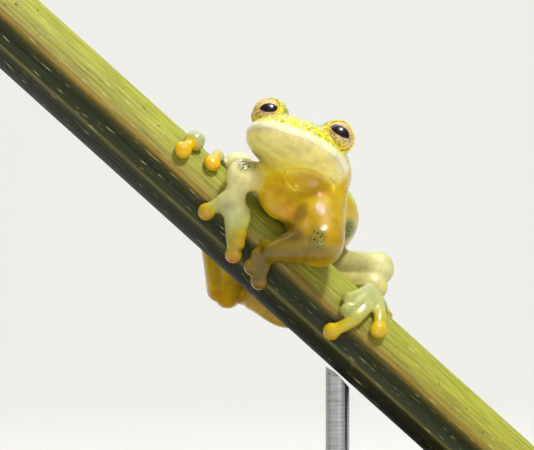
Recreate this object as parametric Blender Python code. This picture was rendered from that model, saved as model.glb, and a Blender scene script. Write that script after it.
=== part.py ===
# A life-size glass frog clasping a cut length of green stem, on a plain display stand.
# Sizes are in millimetres and become metres where a mesh is made. X runs to the right,
# Y away from the front, Z up. The origin is under the middle of the base, on its underside.
# Places on the frog are measured from the middle of the stem's axis.

import math

import bmesh
import bpy
import numpy as np

MM = 0.001
GAP = 0.3
EYE_GAP = 0.2
MERGE_DISTANCE = 0.000002

# The stem
STEM_MIDDLE = np.array([0.0, -4.4, 27.4])
STEM_RADIUS = 3.12
STEM_LENGTH = 57.0
STEM_SLOPE = math.radians(42.0)
STEM_SIDES = 28
STEM_RINGS = 7
STEM_RIDGE = 0.16
STEM_GROOVE = 0.14

# The stand
BASE_WIDTH = 45.0
BASE_DEPTH = 30.0
BASE_THICKNESS = 3.2
BASE_CORNER = 5.0
BASE_EDGE = 0.6
ROD_RADIUS = 0.95
ROD_SIDES = 20
TALL_ROD_X = 7.0
SHORT_ROD_X = 16.6

# The head, measured from the tip of the snout at the level of the mouth
SNOUT_TIP = np.array([3.2, -6.8, 8.4])
HEAD_ROLL = math.radians(21.5)
HEAD_PITCH = math.radians(16.0)
HEAD_YAW = math.radians(10.0)
HEAD_LENGTH = 8.0
HEAD_SIDES = 32
HEAD_RINGS = 13
JAW_HALF_WIDTH = 4.2
JAW_CORNER_BACK = 5.2
NECK_HALF_WIDTH = 3.5
LIP_GROOVE = 0.2
LIP_SWELL = 0.1
EYE_RADIUS = 1.25
EYE_BACK = 3.6
EYE_SIDE = 2.95
EYE_HEIGHT = 2.2
EYE_OUTWARD = math.radians(28.0)
EYE_UPWARD = math.radians(8.0)
LID_RADIUS = 1.6
LID_INSET = 0.38
NOSTRIL_BACK = 0.4
NOSTRIL_SIDE = 1.2
NOSTRIL_HEIGHT = 1.0
NOSTRIL_RADIUS = 0.22
NECK_SHIFT = 1.2

# Distances behind the tip of the snout, each with the head's height above the mouth there,
# and then with its depth below it
HEAD_TOP = [
    (0.0, 0.0), (0.25, 0.85), (0.7, 1.5), (1.4, 1.95),
    (2.4, 2.35), (3.6, 2.7), (6.0, 2.8), (8.5, 2.5),
]
HEAD_BOTTOM = [(0.0, 0.0), (0.25, 0.45), (0.7, 0.75), (1.6, 1.05), (3.2, 1.45), (5.6, 1.8), (8.5, 2.0)]

# Half width and half thickness of each part of a limb, at its two ends and its middle
UPPER_ARM_GIRTH = {"right": (1.2, 1.25, 1.3), "left": (1.75, 1.95, 2.1)}
FOREARM_GIRTH = {"right": (1.3, 0.85, 0.85), "left": (1.9, 1.4, 0.8)}
THIGH_GIRTH = (1.3, 1.55, 1.4)
SHANK_GIRTH = (1.25, 1.2, 1.1)
TARSUS_GIRTH = (1.05, 0.75, 0.7)

# Joints of the frog, from the middle of the stem's axis
JOINTS = {
    "right": {
        "shoulder": (1.8, -0.4, 5.0),
        "elbow": (-0.6, -3.4, 5.25),
        "wrist": (-1.2, -4.2, 3.3),
        "hip": (-0.8, 11.0, -0.4),
        "knee": (-1.0, 2.3, 5.9),
        "fold": (-1.1, 2.4, 5.6),
        "heel": (-1.9, 9.1, -4.5),
        "hock": (-2.6, 8.8, -4.0),
        "ankle": (-3.7, 4.5, 1.6),
    },
    "left": {
        "shoulder": (6.1, -0.5, 4.2),
        "elbow": (5.4, -4.3, 0.1),
        "wrist": (1.8, -4.5, -0.7),
        "hip": (1.6, 11.0, -2.2),
        "knee": (10.3, 3.6, -2.2),
        "fold": (9.9, 2.9, -3.6),
        "heel": (-0.3, 9.4, -4.3),
        "hock": (0.3, 8.8, -4.7),
        "ankle": (8.3, 3.3, -4.3),
    },
}
TARSUS_BEND = {"right": (-0.05, 0.0, 0.0), "left": (-0.9, 0.9, -1.9)}

# Where each finger and toe ends on the stem: its place along the stem and its angle round it,
# 0 on the upper edge, 90 at the front and 180 underneath, with the places that it passes first
FINGERS = {
    "right": [
        [(-3.9, 83.0), (-4.15, 98.0)],
        [(-1.75, 88.0), (-0.76, 102.0)],
        [(-1.6, 95.0), (-0.3, 117.0)],
        [(-1.4, 80.0), (-0.7, 90.0)],
    ],
    "left": [
        [(1.4, 88.0), (1.25, 95.0)],
        [(1.6, 100.0), (1.45, 112.0)],
        [(2.3, 108.0), (2.6, 121.0)],
        [(1.6, 78.0), (1.2, 80.0)],
    ],
}
TOES = {
    "right": [
        [(-8.1, -45.0), (-8.5, 0.0), (-8.8, 57.0)],
        [(-6.0, -45.0), (-6.5, 0.0), (-6.4, 41.0)],
        [(-8.2, -70.0), (-10.0, -45.0)],
        [(-3.8, -75.0), (-3.4, -42.0)],
        [(-3.2, -92.0), (-2.2, -78.0)],
    ],
    "left": [
        [(9.2, 18.0), (8.2, 27.0)],
        [(9.4, 36.0), (8.5, 56.0)],
        [(10.2, 40.0), (10.2, 74.0), (9.5, 105.0)],
        [(11.2, 34.0), (12.2, 62.0)],
        [(10.8, -8.0), (12.0, -36.0)],
    ],
}
FOOT_BASE = {"right": (-4.1, -98.0), "left": (9.7, 9.0)}
HAND_BASE = {"right": (-3.0, 68.0), "left": (1.7, 86.0)}
DIGIT_HALF_WIDTH = {"hand": {"right": 0.5, "left": 0.44}, "foot": {"right": 0.46, "left": 0.5}}
DIGIT_HALF_THICKNESS = 0.34
DIGIT_SIDES = 6
LIMB_SIDES = 12
PALM_SIDES = 8
PALM_HALF_WIDTH = {"hand": {"right": 1.15, "left": 0.95}, "foot": {"right": 0.8, "left": 0.8}}
PAD_RADIUS = {"hand": 0.66, "foot": 0.62}
PAD_HALF_THICKNESS = 0.42
PAD_SIDES = 8
WEB_HALF_THICKNESS = 0.27
WEB_THINNING = 0.015

# Which digits have skin between them, and how far along them it reaches
WEBS = {
    "hand": {"right": [(0, 1, 0.62), (1, 3, 0.9)], "left": [(0, 1, 0.45)]},
    "foot": {
        "right": [(0, 1, 0.55), (0, 2, 0.55), (1, 3, 0.55)],
        "left": [(0, 1, 0.9), (1, 2, 0.8), (2, 3, 0.5)],
    },
}

# The trunk: middle, half width, half thickness and roll of each section, neck to vent
TRUNK = [
    ((4.6, -0.6, 5.1), 2.8, 2.2, 19.0),
    ((4.75, 1.2, 4.1), 3.0, 2.3, 15.0),
    ((4.9, 4.0, 2.4), 4.05, 2.7, 20.0),
    ((3.3, 7.6, 0.6), 3.7, 3.0, 33.0),
    ((1.3, 10.6, -0.9), 2.7, 2.3, 40.0),
    ((0.5, 11.8, -1.6), 1.6, 1.4, 40.0),
]
TRUNK_SIDES = 26
CHEST_LOBE = {"middle": (2.2, -2.3, 3.9), "tip": (3.2, -3.0, 2.2), "half": (1.8, 1.5, 2.2)}

# The throat, the breast and the fold of the vocal sac: middle and half sizes, tilted clockwise
BREAST_TILT = math.radians(20.0)
BREAST = [
    ((4.6, -1.6, 5.0), (3.5, 2.0, 1.9)),
    ((4.9, -1.3, 3.1), (2.8, 2.2, 2.3)),
    ((4.3, -3.0, 4.75), (1.7, 0.9, 1.2)),
]

COLOURS = {
    "head": ((0.72, 0.66, 0.16), 0.3),
    "torso": ((0.55, 0.42, 0.05), 0.35),
    "eye": ((0.75, 0.55, 0.1), 0.1),
    "arm": ((0.62, 0.5, 0.12), 0.35),
    "hand": ((0.6, 0.48, 0.12), 0.3),
    "leg": ((0.5, 0.48, 0.14), 0.35),
    "foot": ((0.62, 0.5, 0.1), 0.3),
    "perch": ((0.2, 0.25, 0.03), 0.5),
    "stand": ((0.06, 0.055, 0.05), 0.45),
}

STEM_ALONG = np.array([math.cos(STEM_SLOPE), 0.0, -math.sin(STEM_SLOPE)])
STEM_UP = np.array([math.sin(STEM_SLOPE), 0.0, math.cos(STEM_SLOPE)])
FORWARD = np.array([0.0, -1.0, 0.0])


# Small tools for shapes

def unit(vector):
    vector = np.asarray(vector, float)
    return vector / np.linalg.norm(vector)


def round_stem(along, degrees, lift):
    """The point at a place along the stem and an angle round it, so far off its surface."""
    angle = math.radians(degrees)
    outward = STEM_UP * math.cos(angle) + FORWARD * math.sin(angle)
    return STEM_ALONG * along + outward * (STEM_RADIUS + lift)


def off_stem(point):
    """The unit vector from the stem's axis to a point."""
    along = STEM_ALONG * np.dot(point, STEM_ALONG)
    return unit(np.asarray(point, float) - along)


def through(rows, count):
    """Rows of numbers read from a smooth Catmull-Rom curve through the given rows."""
    rows = np.asarray(rows, float)
    padded = np.vstack([2 * rows[0] - rows[1], rows, 2 * rows[-1] - rows[-2]])
    place = np.linspace(0.0, len(rows) - 1.0, count)
    first = np.minimum(place.astype(int), len(rows) - 2)
    t = (place - first)[:, None]
    a, b, c, d = (padded[first + step] for step in range(4))
    curve = (2 * a - 5 * b + 4 * c - d) * t**2 + (3 * b - a - 3 * c + d) * t**3
    return b + 0.5 * ((c - a) * t + curve)


def skin_rings(rings):
    """A closed mesh over rings of points, whose first and last rings are single points."""
    count = len(rings[1])
    points = [rings[0][0]]
    for ring in rings[1:-1]:
        points.extend(ring)
    points.append(rings[-1][0])
    faces = [(0, 1 + (side + 1) % count, 1 + side) for side in range(count)]
    for row in range(len(rings) - 3):
        low = 1 + row * count
        for side in range(count):
            after = (side + 1) % count
            faces.append((low + side, low + after, low + count + after, low + count + side))
    last = len(points) - 1
    low = last - count
    faces += [(low + side, low + (side + 1) % count, last) for side in range(count)]
    return np.array(points), faces


def tube(rows, flat, sides, count, grow=0.0, cap_steps=(0.6, 0.92)):
    """A rounded limb through rows of x, y, z, half width and half thickness.
    flat gives the direction of the thickness at a point."""
    rows = through(rows, count)
    centres = rows[:, :3]
    tangents = np.gradient(centres, axis=0)
    angles = np.arange(sides) * 2 * math.pi / sides

    def ring(centre, tangent, wide, thick, shrink, shift):
        normal = flat(centre)
        normal = unit(normal - tangent * np.dot(normal, tangent))
        side = np.cross(tangent, normal)
        turn = np.cos(angles)[:, None] * side * (wide + grow)
        turn += np.sin(angles)[:, None] * normal * (thick + grow)
        return centre + tangent * shift + turn * shrink

    rings = []
    for index, row in enumerate(rows):
        tangent = unit(tangents[index])
        wide, thick = row[3:]
        reach = min(wide, thick) + grow
        if index == 0:
            rings.append([row[:3] - tangent * reach])
            for step in reversed(cap_steps):
                rings.append(ring(row[:3], tangent, wide, thick, math.sqrt(1 - step**2), -reach * step))
        rings.append(ring(row[:3], tangent, wide, thick, 1.0, 0.0))
        if index == len(rows) - 1:
            for step in cap_steps:
                rings.append(ring(row[:3], tangent, wide, thick, math.sqrt(1 - step**2), reach * step))
            rings.append([row[:3] + tangent * reach])
    return skin_rings(rings)


def ellipsoid(middle, axes, half, sides, rows, grow=0.0):
    """A closed ellipsoid, with half sizes along three axes; the last runs pole to pole."""
    angles = np.arange(sides) * 2 * math.pi / sides
    half = np.asarray(half, float) + grow
    rings = []
    for row in range(rows + 1):
        polar = math.pi * row / rows
        height = -math.cos(polar)
        around = np.cos(angles)[:, None] * axes[0] * half[0]
        around += np.sin(angles)[:, None] * axes[1] * half[1]
        ring = middle + axes[2] * half[2] * height + around * math.sin(polar)
        rings.append(ring[:1] if row in (0, rows) else ring)
    return skin_rings(rings)


def make_object(name, shape):
    """An object from points in millimetres, placed from the middle of the stem."""
    points, faces = shape
    mesh = bpy.data.meshes.new(name)
    mesh.from_pydata(((points + STEM_MIDDLE) * MM).tolist(), [], faces)
    body = bmesh.new()
    body.from_mesh(mesh)
    bmesh.ops.triangulate(body, faces=body.faces)
    bmesh.ops.recalc_face_normals(body, faces=body.faces)
    body.to_mesh(mesh)
    body.free()
    obj = bpy.data.objects.new(name, mesh)
    bpy.context.scene.collection.objects.link(obj)
    return obj


def boolean(obj, shapes, operation, solver="EXACT"):
    """One applied Boolean of an object with a collection of closed shapes."""
    group = bpy.data.collections.new("pieces")
    bpy.context.scene.collection.children.link(group)
    for shape in shapes:
        piece = make_object("piece", shape)
        bpy.context.scene.collection.objects.unlink(piece)
        group.objects.link(piece)
    modifier = obj.modifiers.new("join", "BOOLEAN")
    modifier.operation = operation
    modifier.operand_type = "COLLECTION"
    modifier.collection = group
    modifier.solver = solver
    view = bpy.context.evaluated_depsgraph_get()
    joined = bpy.data.meshes.new_from_object(obj.evaluated_get(view))
    obj.modifiers.clear()
    obj.data = joined
    for piece in list(group.objects):
        bpy.data.objects.remove(piece)
    bpy.data.collections.remove(group)


def keep_largest(obj):
    """Only the object's largest closed surface, with its doubled points merged."""
    body = bmesh.new()
    body.from_mesh(obj.data)
    bmesh.ops.remove_doubles(body, verts=body.verts, dist=MERGE_DISTANCE)
    bmesh.ops.dissolve_degenerate(body, dist=MERGE_DISTANCE, edges=body.edges)
    bmesh.ops.triangulate(body, faces=body.faces)
    left = set(body.faces)
    groups = []
    while left:
        stack = [left.pop()]
        group = list(stack)
        while stack:
            face = stack.pop()
            for edge in face.edges:
                for other in edge.link_faces:
                    if other in left:
                        left.remove(other)
                        stack.append(other)
                        group.append(other)
        groups.append(group)
    groups.sort(key=lambda group: sum(face.calc_area() for face in group))
    scrap = [face for group in groups[:-1] for face in group]
    bmesh.ops.delete(body, geom=scrap, context="FACES")
    loose = [vert for vert in body.verts if not vert.link_faces]
    bmesh.ops.delete(body, geom=loose, context="VERTS")
    body.to_mesh(obj.data)
    body.free()


def slice_off(obj, place, outward):
    """The object cut flat at a plane and closed; what lies outward of it goes."""
    body = bmesh.new()
    body.from_mesh(obj.data)
    cut = bmesh.ops.bisect_plane(
        body,
        geom=body.verts[:] + body.edges[:] + body.faces[:],
        plane_co=((np.asarray(place) + STEM_MIDDLE) * MM).tolist(),
        plane_no=list(outward),
        clear_outer=True,
    )
    rim = [item for item in cut["geom_cut"] if isinstance(item, bmesh.types.BMEdge)]
    bmesh.ops.holes_fill(body, edges=rim)
    bmesh.ops.triangulate(body, faces=body.faces)
    bmesh.ops.recalc_face_normals(body, faces=body.faces)
    body.to_mesh(obj.data)
    body.free()


def paint(obj, finish):
    """The object's own material and smooth shading."""
    colour, roughness = COLOURS[finish]
    material = bpy.data.materials.new(obj.name)
    material.use_nodes = True
    shader = material.node_tree.nodes["Principled BSDF"]
    shader.inputs["Base Color"].default_value = (*colour, 1.0)
    shader.inputs["Roughness"].default_value = roughness
    shader.inputs["Metallic"].default_value = 0.0
    obj.data.materials.clear()
    obj.data.materials.append(material)
    obj.data.shade_smooth()
    obj.data.set_sharp_from_angle(angle=math.radians(50))


# The head

def head_axes():
    """The head's left, backward and upward directions, from its roll, pitch and yaw."""
    left = np.array([1.0, 0.0, 0.0])
    back = np.array([0.0, math.cos(HEAD_PITCH), -math.sin(HEAD_PITCH)])
    up = np.array([0.0, math.sin(HEAD_PITCH), math.cos(HEAD_PITCH)])
    turned_back = back * math.cos(HEAD_YAW) + left * math.sin(HEAD_YAW)
    turned_left = left * math.cos(HEAD_YAW) - back * math.sin(HEAD_YAW)
    roll = np.array([
        [math.cos(HEAD_ROLL), 0.0, math.sin(HEAD_ROLL)],
        [0.0, 1.0, 0.0],
        [-math.sin(HEAD_ROLL), 0.0, math.cos(HEAD_ROLL)],
    ])
    return roll @ turned_left, roll @ turned_back, roll @ up


HEAD_LEFT, HEAD_BACK, HEAD_UP = head_axes()


def in_head(side, back, up):
    """A point given by the head's own directions, from the tip of the snout."""
    return SNOUT_TIP + HEAD_LEFT * side + HEAD_BACK * back + HEAD_UP * up


def head_section(back):
    """Half width, height above the mouth and depth below it, so far behind the snout's tip."""
    reach = min(back / JAW_CORNER_BACK, 1.0)
    width = JAW_HALF_WIDTH * math.sqrt(1 - (1 - reach) ** 2.4)
    if back > JAW_CORNER_BACK:
        neck = (back - JAW_CORNER_BACK) / (HEAD_LENGTH - JAW_CORNER_BACK)
        width += (NECK_HALF_WIDTH - JAW_HALF_WIDTH) * neck**2
    top = np.interp(back, *zip(*HEAD_TOP))
    bottom = np.interp(back, *zip(*HEAD_BOTTOM))
    return width, top, bottom


def head_shape(grow=0.0):
    """The head from snout to neck: each ring has the mouth's groove at both its sides,
    and the lower jaw is set in under the upper lip. It ends flat at the neck."""
    turn = np.arange(HEAD_SIDES) * 2 * math.pi / HEAD_SIDES
    turn = turn - 0.33 * np.sin(2 * turn)
    rise = np.sin(turn)
    above = rise >= 0
    from_lips = np.abs(rise)
    across = np.sign(np.cos(turn)) * np.abs(np.cos(turn)) ** np.where(above, 0.85, 2.3)
    upward = np.sign(rise) * from_lips**0.9
    groove = LIP_GROOVE * np.exp(-((from_lips / 0.09) ** 2))
    lip = LIP_SWELL * np.exp(-(((from_lips - 0.3) / 0.16) ** 2)) * np.where(above, 1.0, 0.3)
    backs = (1 - np.cos(np.linspace(0.0, math.pi / 2, HEAD_RINGS))) * (HEAD_LENGTH + grow)
    rings = [[in_head(0.0, -grow, 0.0)]]
    for back in backs[1:]:
        width, top, bottom = head_section(back)
        shift = NECK_SHIFT * max(0.0, (back - 3.0) / (HEAD_LENGTH - 3.0)) ** 2
        wide = (width + grow - groove + lip) * across + shift
        height = np.where(above, top + grow, bottom + grow) * upward
        rings.append([in_head(wide[side], back, height[side]) for side in range(HEAD_SIDES)])
    rings.append([in_head(NECK_SHIFT, backs[-1], 0.0)])
    return skin_rings(rings)


def eye_middle(side):
    return in_head(EYE_SIDE * side, EYE_BACK, EYE_HEIGHT)


def eye_gaze(side):
    """The direction that an eye looks in."""
    outward = HEAD_LEFT * side * math.sin(EYE_OUTWARD) - HEAD_BACK * math.cos(EYE_OUTWARD)
    return unit(outward * math.cos(EYE_UPWARD) + HEAD_UP * math.sin(EYE_UPWARD))


def eye_axes(side):
    gaze = eye_gaze(side)
    across = unit(np.cross(HEAD_UP, gaze))
    return across, np.cross(gaze, across), gaze


def eye_ball(side, grow=0.0):
    return ellipsoid(eye_middle(side), eye_axes(side), [EYE_RADIUS] * 3, 18, 10, grow)


def lid_mound(side, grow=0.0):
    """The swelling of the head round an eye, whose opening leaves the two lids."""
    middle = eye_middle(side) - eye_gaze(side) * LID_INSET
    return ellipsoid(middle, eye_axes(side), [LID_RADIUS] * 3, 18, 10, grow)


def nostril(side):
    axes = (HEAD_LEFT, HEAD_BACK, HEAD_UP)
    half = (NOSTRIL_RADIUS, NOSTRIL_RADIUS * 1.3, NOSTRIL_RADIUS)
    return ellipsoid(in_head(NOSTRIL_SIDE * side, NOSTRIL_BACK, NOSTRIL_HEIGHT), axes, half, 8, 6)


def head_pieces(grow=0.0):
    return [head_shape(grow), lid_mound(1, grow), lid_mound(-1, grow)]


# The trunk

def trunk_flat(rows):
    """The trunk's direction of thickness, which rolls from the neck to the hips."""
    middles = np.array([row[0] for row in rows], float)
    rolls = np.radians([row[3] for row in rows])

    def flat(point):
        nearest = np.linalg.norm(middles - point, axis=1)
        weights = 1 / (nearest + 0.5) ** 3
        roll = np.dot(weights, rolls) / weights.sum()
        across = np.array([math.cos(roll), 0.0, -math.sin(roll)])
        along = unit(middles[-1] - middles[0])
        return np.cross(across, along)

    return flat


def trunk_pieces(grow=0.0):
    """The trunk, the right lobe of the breast, and the rest of the breast with the throat."""
    rows = [(*middle, width, thickness) for middle, width, thickness, roll in TRUNK]
    trunk = tube(rows, trunk_flat(TRUNK), TRUNK_SIDES, 14, grow)
    middle = np.array(CHEST_LOBE["middle"])
    down = unit(np.array(CHEST_LOBE["tip"]) - middle)
    across = unit(np.cross(down, FORWARD))
    axes = (across, np.cross(down, across), down)
    lobe = ellipsoid(middle, axes, CHEST_LOBE["half"], 14, 8, grow)
    slope = np.array([math.cos(BREAST_TILT), 0.0, -math.sin(BREAST_TILT)])
    tilted = (slope, -FORWARD, np.cross(slope, -FORWARD))
    breast = [ellipsoid(np.array(place), tilted, half, 18, 10, grow) for place, half in BREAST]
    return [trunk, lobe] + breast


# Limbs

def limb(side, start, end, girth, bulge=(0.0, 0.0, 0.0), grow=0.0):
    """One length of a limb between two joints, thickest as its three girths say."""
    first = np.array(JOINTS[side][start])
    last = np.array(JOINTS[side][end])
    middle = (first + last) / 2 + np.array(bulge)
    rows = [
        (*first, girth[0], girth[0]),
        (*middle, girth[1], girth[1]),
        (*last, girth[2], girth[2]),
    ]
    return tube(rows, off_stem, LIMB_SIDES, 7, grow)


def digit_places(base, places, lift):
    """A digit's middle line on the stem: place along it, angle round it and height."""
    rows = [(*base, lift + 0.15)]
    rows += [(*place, lift) for place in places]
    return rows


def digit(rows, half_width, grow=0.0):
    """A finger or toe that bends round the stem, widest where it leaves the palm."""
    count = 2 + 2 * len(rows)
    path = through(rows, count)
    centres = np.array([round_stem(*place) for place in path])
    share = np.linspace(0.0, 1.0, count)
    wide = half_width * (1 + 0.6 * (1 - share) ** 2)
    thick = np.full(count, DIGIT_HALF_THICKNESS)
    shape = np.column_stack([centres, wide, thick])
    return tube(shape, off_stem, DIGIT_SIDES, count, grow, cap_steps=(0.8,))


def pad(rows, radius, grow=0.0):
    """The round disc at a digit's tip, flattened on the stem."""
    tip = round_stem(*rows[-1])
    before = round_stem(*through(rows, 12)[-2])
    outward = off_stem(tip)
    along = tip - before
    along = unit(along - outward * np.dot(along, outward))
    axes = (along, np.cross(outward, along), outward)
    half = (radius, radius, PAD_HALF_THICKNESS)
    return ellipsoid(tip + outward * 0.06, axes, half, PAD_SIDES, 5, grow)


def web(rows_a, rows_b, reach, half_thickness, grow=0.0):
    """The skin between two digits, hollowed along its free edge."""
    steps, spans = 4, 4
    path_a = through(rows_a, 25)
    path_b = through(rows_b, 25)
    middle = []
    for span in range(spans):
        share = span / (spans - 1)
        depth = reach * (1 - 0.3 * math.sin(math.pi * share))
        line = []
        for step in range(steps):
            place = depth * step / (steps - 1) * 24
            low = int(place)
            part = place - low
            at_a = path_a[low] * (1 - part) + path_a[low + 1] * part
            at_b = path_b[low] * (1 - part) + path_b[low + 1] * part
            line.append(at_a * (1 - share) + at_b * share)
        middle.append(line)
    middle = np.array(middle)
    thick = half_thickness + grow
    top = [round_stem(*(place + (0, 0, thick))) for line in middle for place in line]
    bottom = [round_stem(*(place - (0, 0, thick))) for line in middle for place in line]
    points = np.array(top + bottom)
    half = steps * spans
    faces = []
    for span in range(spans - 1):
        for step in range(steps - 1):
            a = span * steps + step
            faces.append((a, a + 1, a + steps))
            faces.append((a + 1, a + steps + 1, a + steps))
            faces.append((half + a, half + a + steps, half + a + 1))
            faces.append((half + a + 1, half + a + steps, half + a + steps + 1))
    rim = [span * steps for span in range(spans)]
    rim += [(spans - 1) * steps + step for step in range(1, steps)]
    rim += [span * steps + steps - 1 for span in range(spans - 2, -1, -1)]
    rim += list(range(steps - 2, 0, -1))
    for index, first in enumerate(rim):
        second = rim[(index + 1) % len(rim)]
        faces.append((first, second, half + second))
        faces.append((first, half + second, half + first))
    return points, faces


def extremity(kind, side, grow=0.0):
    """The pieces of a hand or foot: palm, digits, pads and webs."""
    base = {"hand": HAND_BASE, "foot": FOOT_BASE}[kind][side]
    ends = {"hand": FINGERS, "foot": TOES}[kind][side]
    joint = {"hand": "wrist", "foot": "ankle"}[kind]
    lift = GAP + DIGIT_HALF_THICKNESS
    start = np.array(JOINTS[side][joint])
    palm_end = round_stem(*base, lift + 0.15)
    wide = PALM_HALF_WIDTH[kind][side]
    rows = [(*start, wide * 0.8, 0.62), (*((start + palm_end) / 2), wide, 0.6), (*palm_end, wide, 0.5)]
    pieces = [tube(rows, off_stem, PALM_SIDES, 4, grow)]
    lines = [digit_places(base, places, lift) for places in ends]
    for line in lines:
        pieces.append(digit(line, DIGIT_HALF_WIDTH[kind][side], grow))
        pieces.append(pad(line, PAD_RADIUS[kind], grow))
    for number, (first, second, reach) in enumerate(WEBS[kind][side]):
        half_thickness = WEB_HALF_THICKNESS - WEB_THINNING * number
        pieces.append(web(lines[first], lines[second], reach, half_thickness, grow))
    return pieces


# The stem and the stand

def stem_shape(grow=0.0):
    """A straight cut stem with a ridge on its front, a groove under it and a second ridge."""
    angles = np.arange(STEM_SIDES) * 360.0 / STEM_SIDES

    def bump(middle, width):
        away = (angles - middle + 180.0) % 360.0 - 180.0
        return np.exp(-((away / width) ** 2))

    profile = STEM_RADIUS + STEM_RIDGE * (bump(84.0, 9.0) + bump(121.0, 8.0) + bump(264.0, 10.0))
    profile = profile - STEM_GROOVE * (bump(103.0, 8.0) + bump(282.0, 9.0)) - 0.05 + grow
    rings = [[STEM_ALONG * (-STEM_LENGTH / 2 - grow)]]
    for along in np.linspace(-STEM_LENGTH / 2 - grow, STEM_LENGTH / 2 + grow, STEM_RINGS):
        turn = np.radians(angles)
        outward = np.cos(turn)[:, None] * STEM_UP + np.sin(turn)[:, None] * FORWARD
        rings.append(STEM_ALONG * along + outward * profile[:, None])
    rings.append([STEM_ALONG * (STEM_LENGTH / 2 + grow)])
    return skin_rings(rings)


def rod_shape(x):
    """A rod that runs from just above the base into the stem."""
    top = -x * math.tan(STEM_SLOPE)
    foot = BASE_THICKNESS + GAP - STEM_MIDDLE[2]
    angles = np.arange(ROD_SIDES) * 2 * math.pi / ROD_SIDES
    circle = np.column_stack([np.cos(angles), np.sin(angles), np.zeros(ROD_SIDES)]) * ROD_RADIUS
    low = np.array([x, 0.0, foot])
    high = np.array([x, 0.0, top])
    return skin_rings([[low], circle + low, circle + high, [high]])


def base_object():
    """A flat base with rounded corners and a softened edge."""
    body = bmesh.new()
    bmesh.ops.create_cube(body, size=1.0)
    size = (BASE_WIDTH * MM, BASE_DEPTH * MM, BASE_THICKNESS * MM)
    bmesh.ops.scale(body, vec=size, verts=body.verts)
    bmesh.ops.translate(body, vec=(0.0, 0.0, BASE_THICKNESS * MM / 2), verts=body.verts)
    upright = [edge for edge in body.edges if abs(edge.verts[0].co.z - edge.verts[1].co.z) > MM]
    bmesh.ops.bevel(body, geom=upright, offset=BASE_CORNER * MM, segments=6, affect="EDGES", profile=0.5)
    top = [edge for edge in body.edges if min(v.co.z for v in edge.verts) > BASE_THICKNESS * MM * 0.9]
    bmesh.ops.bevel(body, geom=top, offset=BASE_EDGE * MM, segments=3, affect="EDGES", profile=0.5)
    bmesh.ops.triangulate(body, faces=body.faces)
    mesh = bpy.data.meshes.new("stand_base")
    body.to_mesh(mesh)
    body.free()
    obj = bpy.data.objects.new("stand_base", mesh)
    bpy.context.scene.collection.objects.link(obj)
    return obj


# Each node's pieces, as functions of how far they are grown

def both_sides():
    """Every node of flesh with its pieces and the nodes that it gives way to."""
    nodes = {
        "torso": (trunk_pieces, ["head"], "torso"),
        "head": (head_pieces, [], "head"),
    }
    for side in ("right", "left"):
        nodes["upper_arm_" + side] = (
            lambda grow=0.0, side=side: [limb(side, "shoulder", "elbow", UPPER_ARM_GIRTH[side], grow=grow)],
            ["torso", "head"],
            "arm",
        )
    for side in ("right", "left"):
        nodes["forearm_" + side] = (
            lambda grow=0.0, side=side: [limb(side, "elbow", "wrist", FOREARM_GIRTH[side], grow=grow)],
            ["torso", "head", "upper_arm_" + side],
            "arm",
        )
    for side in ("right", "left"):
        other = "forearm_left" if side == "right" else "hand_right"
        nodes["hand_" + side] = (
            lambda grow=0.0, side=side: extremity("hand", side, grow),
            ["torso", "forearm_" + side, other],
            "hand",
        )
    for side in ("right", "left"):
        other = ["thigh_right"] if side == "left" else []
        nodes["thigh_" + side] = (
            lambda grow=0.0, side=side: [limb(side, "hip", "knee", THIGH_GIRTH, grow=grow)],
            ["torso", "upper_arm_" + side] + other,
            "leg",
        )
    for side in ("right", "left"):
        other = ["shank_right"] if side == "left" else []
        nodes["shank_" + side] = (
            lambda grow=0.0, side=side: [limb(side, "fold", "heel", SHANK_GIRTH, grow=grow)],
            ["torso", "thigh_" + side, "upper_arm_" + side] + other,
            "leg",
        )
    for side in ("right", "left"):
        nodes["tarsus_" + side] = (
            lambda grow=0.0, side=side: [limb(side, "hock", "ankle", TARSUS_GIRTH, TARSUS_BEND[side], grow)],
            ["torso", "thigh_" + side, "shank_right", "shank_left"],
            "leg",
        )
    for side in ("right", "left"):
        nodes["foot_" + side] = (
            lambda grow=0.0, side=side: extremity("foot", side, grow),
            ["thigh_" + side, "shank_" + side, "tarsus_" + side, "hand_" + side],
            "foot",
        )
    return nodes


def build_flesh():
    """Every node of flesh: its pieces joined, then cut clear of its neighbours and the stem."""
    nodes = both_sides()
    for name, (pieces, neighbours, finish) in nodes.items():
        shapes = pieces()
        obj = make_object(name, shapes[0])
        if name == "torso":
            slice_off(obj, in_head(0.0, HEAD_LENGTH + GAP, 0.0), -HEAD_BACK)
        if len(shapes) > 1:
            boolean(obj, shapes[1:], "UNION")
        if name == "head":
            balls = [eye_ball(side, EYE_GAP) for side in (1, -1)]
            boolean(obj, balls + [nostril(1), nostril(-1)], "DIFFERENCE")
        cutters = [shape for other in neighbours for shape in nodes[other][0](GAP)]
        cutters.append(stem_shape(GAP))
        for cutter in cutters:
            boolean(obj, [cutter], "DIFFERENCE")
        keep_largest(obj)
        paint(obj, finish)


def build_eyes():
    for name, side in (("eye_left", 1), ("eye_right", -1)):
        paint(make_object(name, eye_ball(side)), "eye")


def build_perch():
    stem = make_object("perch_stem", stem_shape())
    paint(stem, "perch")
    for name, x in (("stand_rod_tall", TALL_ROD_X), ("stand_rod_short", SHORT_ROD_X)):
        rod = make_object(name, rod_shape(x))
        boolean(rod, [stem_shape(GAP)], "DIFFERENCE")
        keep_largest(rod)
        paint(rod, "stand")
    paint(base_object(), "stand")


def main():
    for obj in list(bpy.data.objects):
        bpy.data.objects.remove(obj)
    build_flesh()
    build_eyes()
    build_perch()


main()
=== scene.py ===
import math

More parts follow.
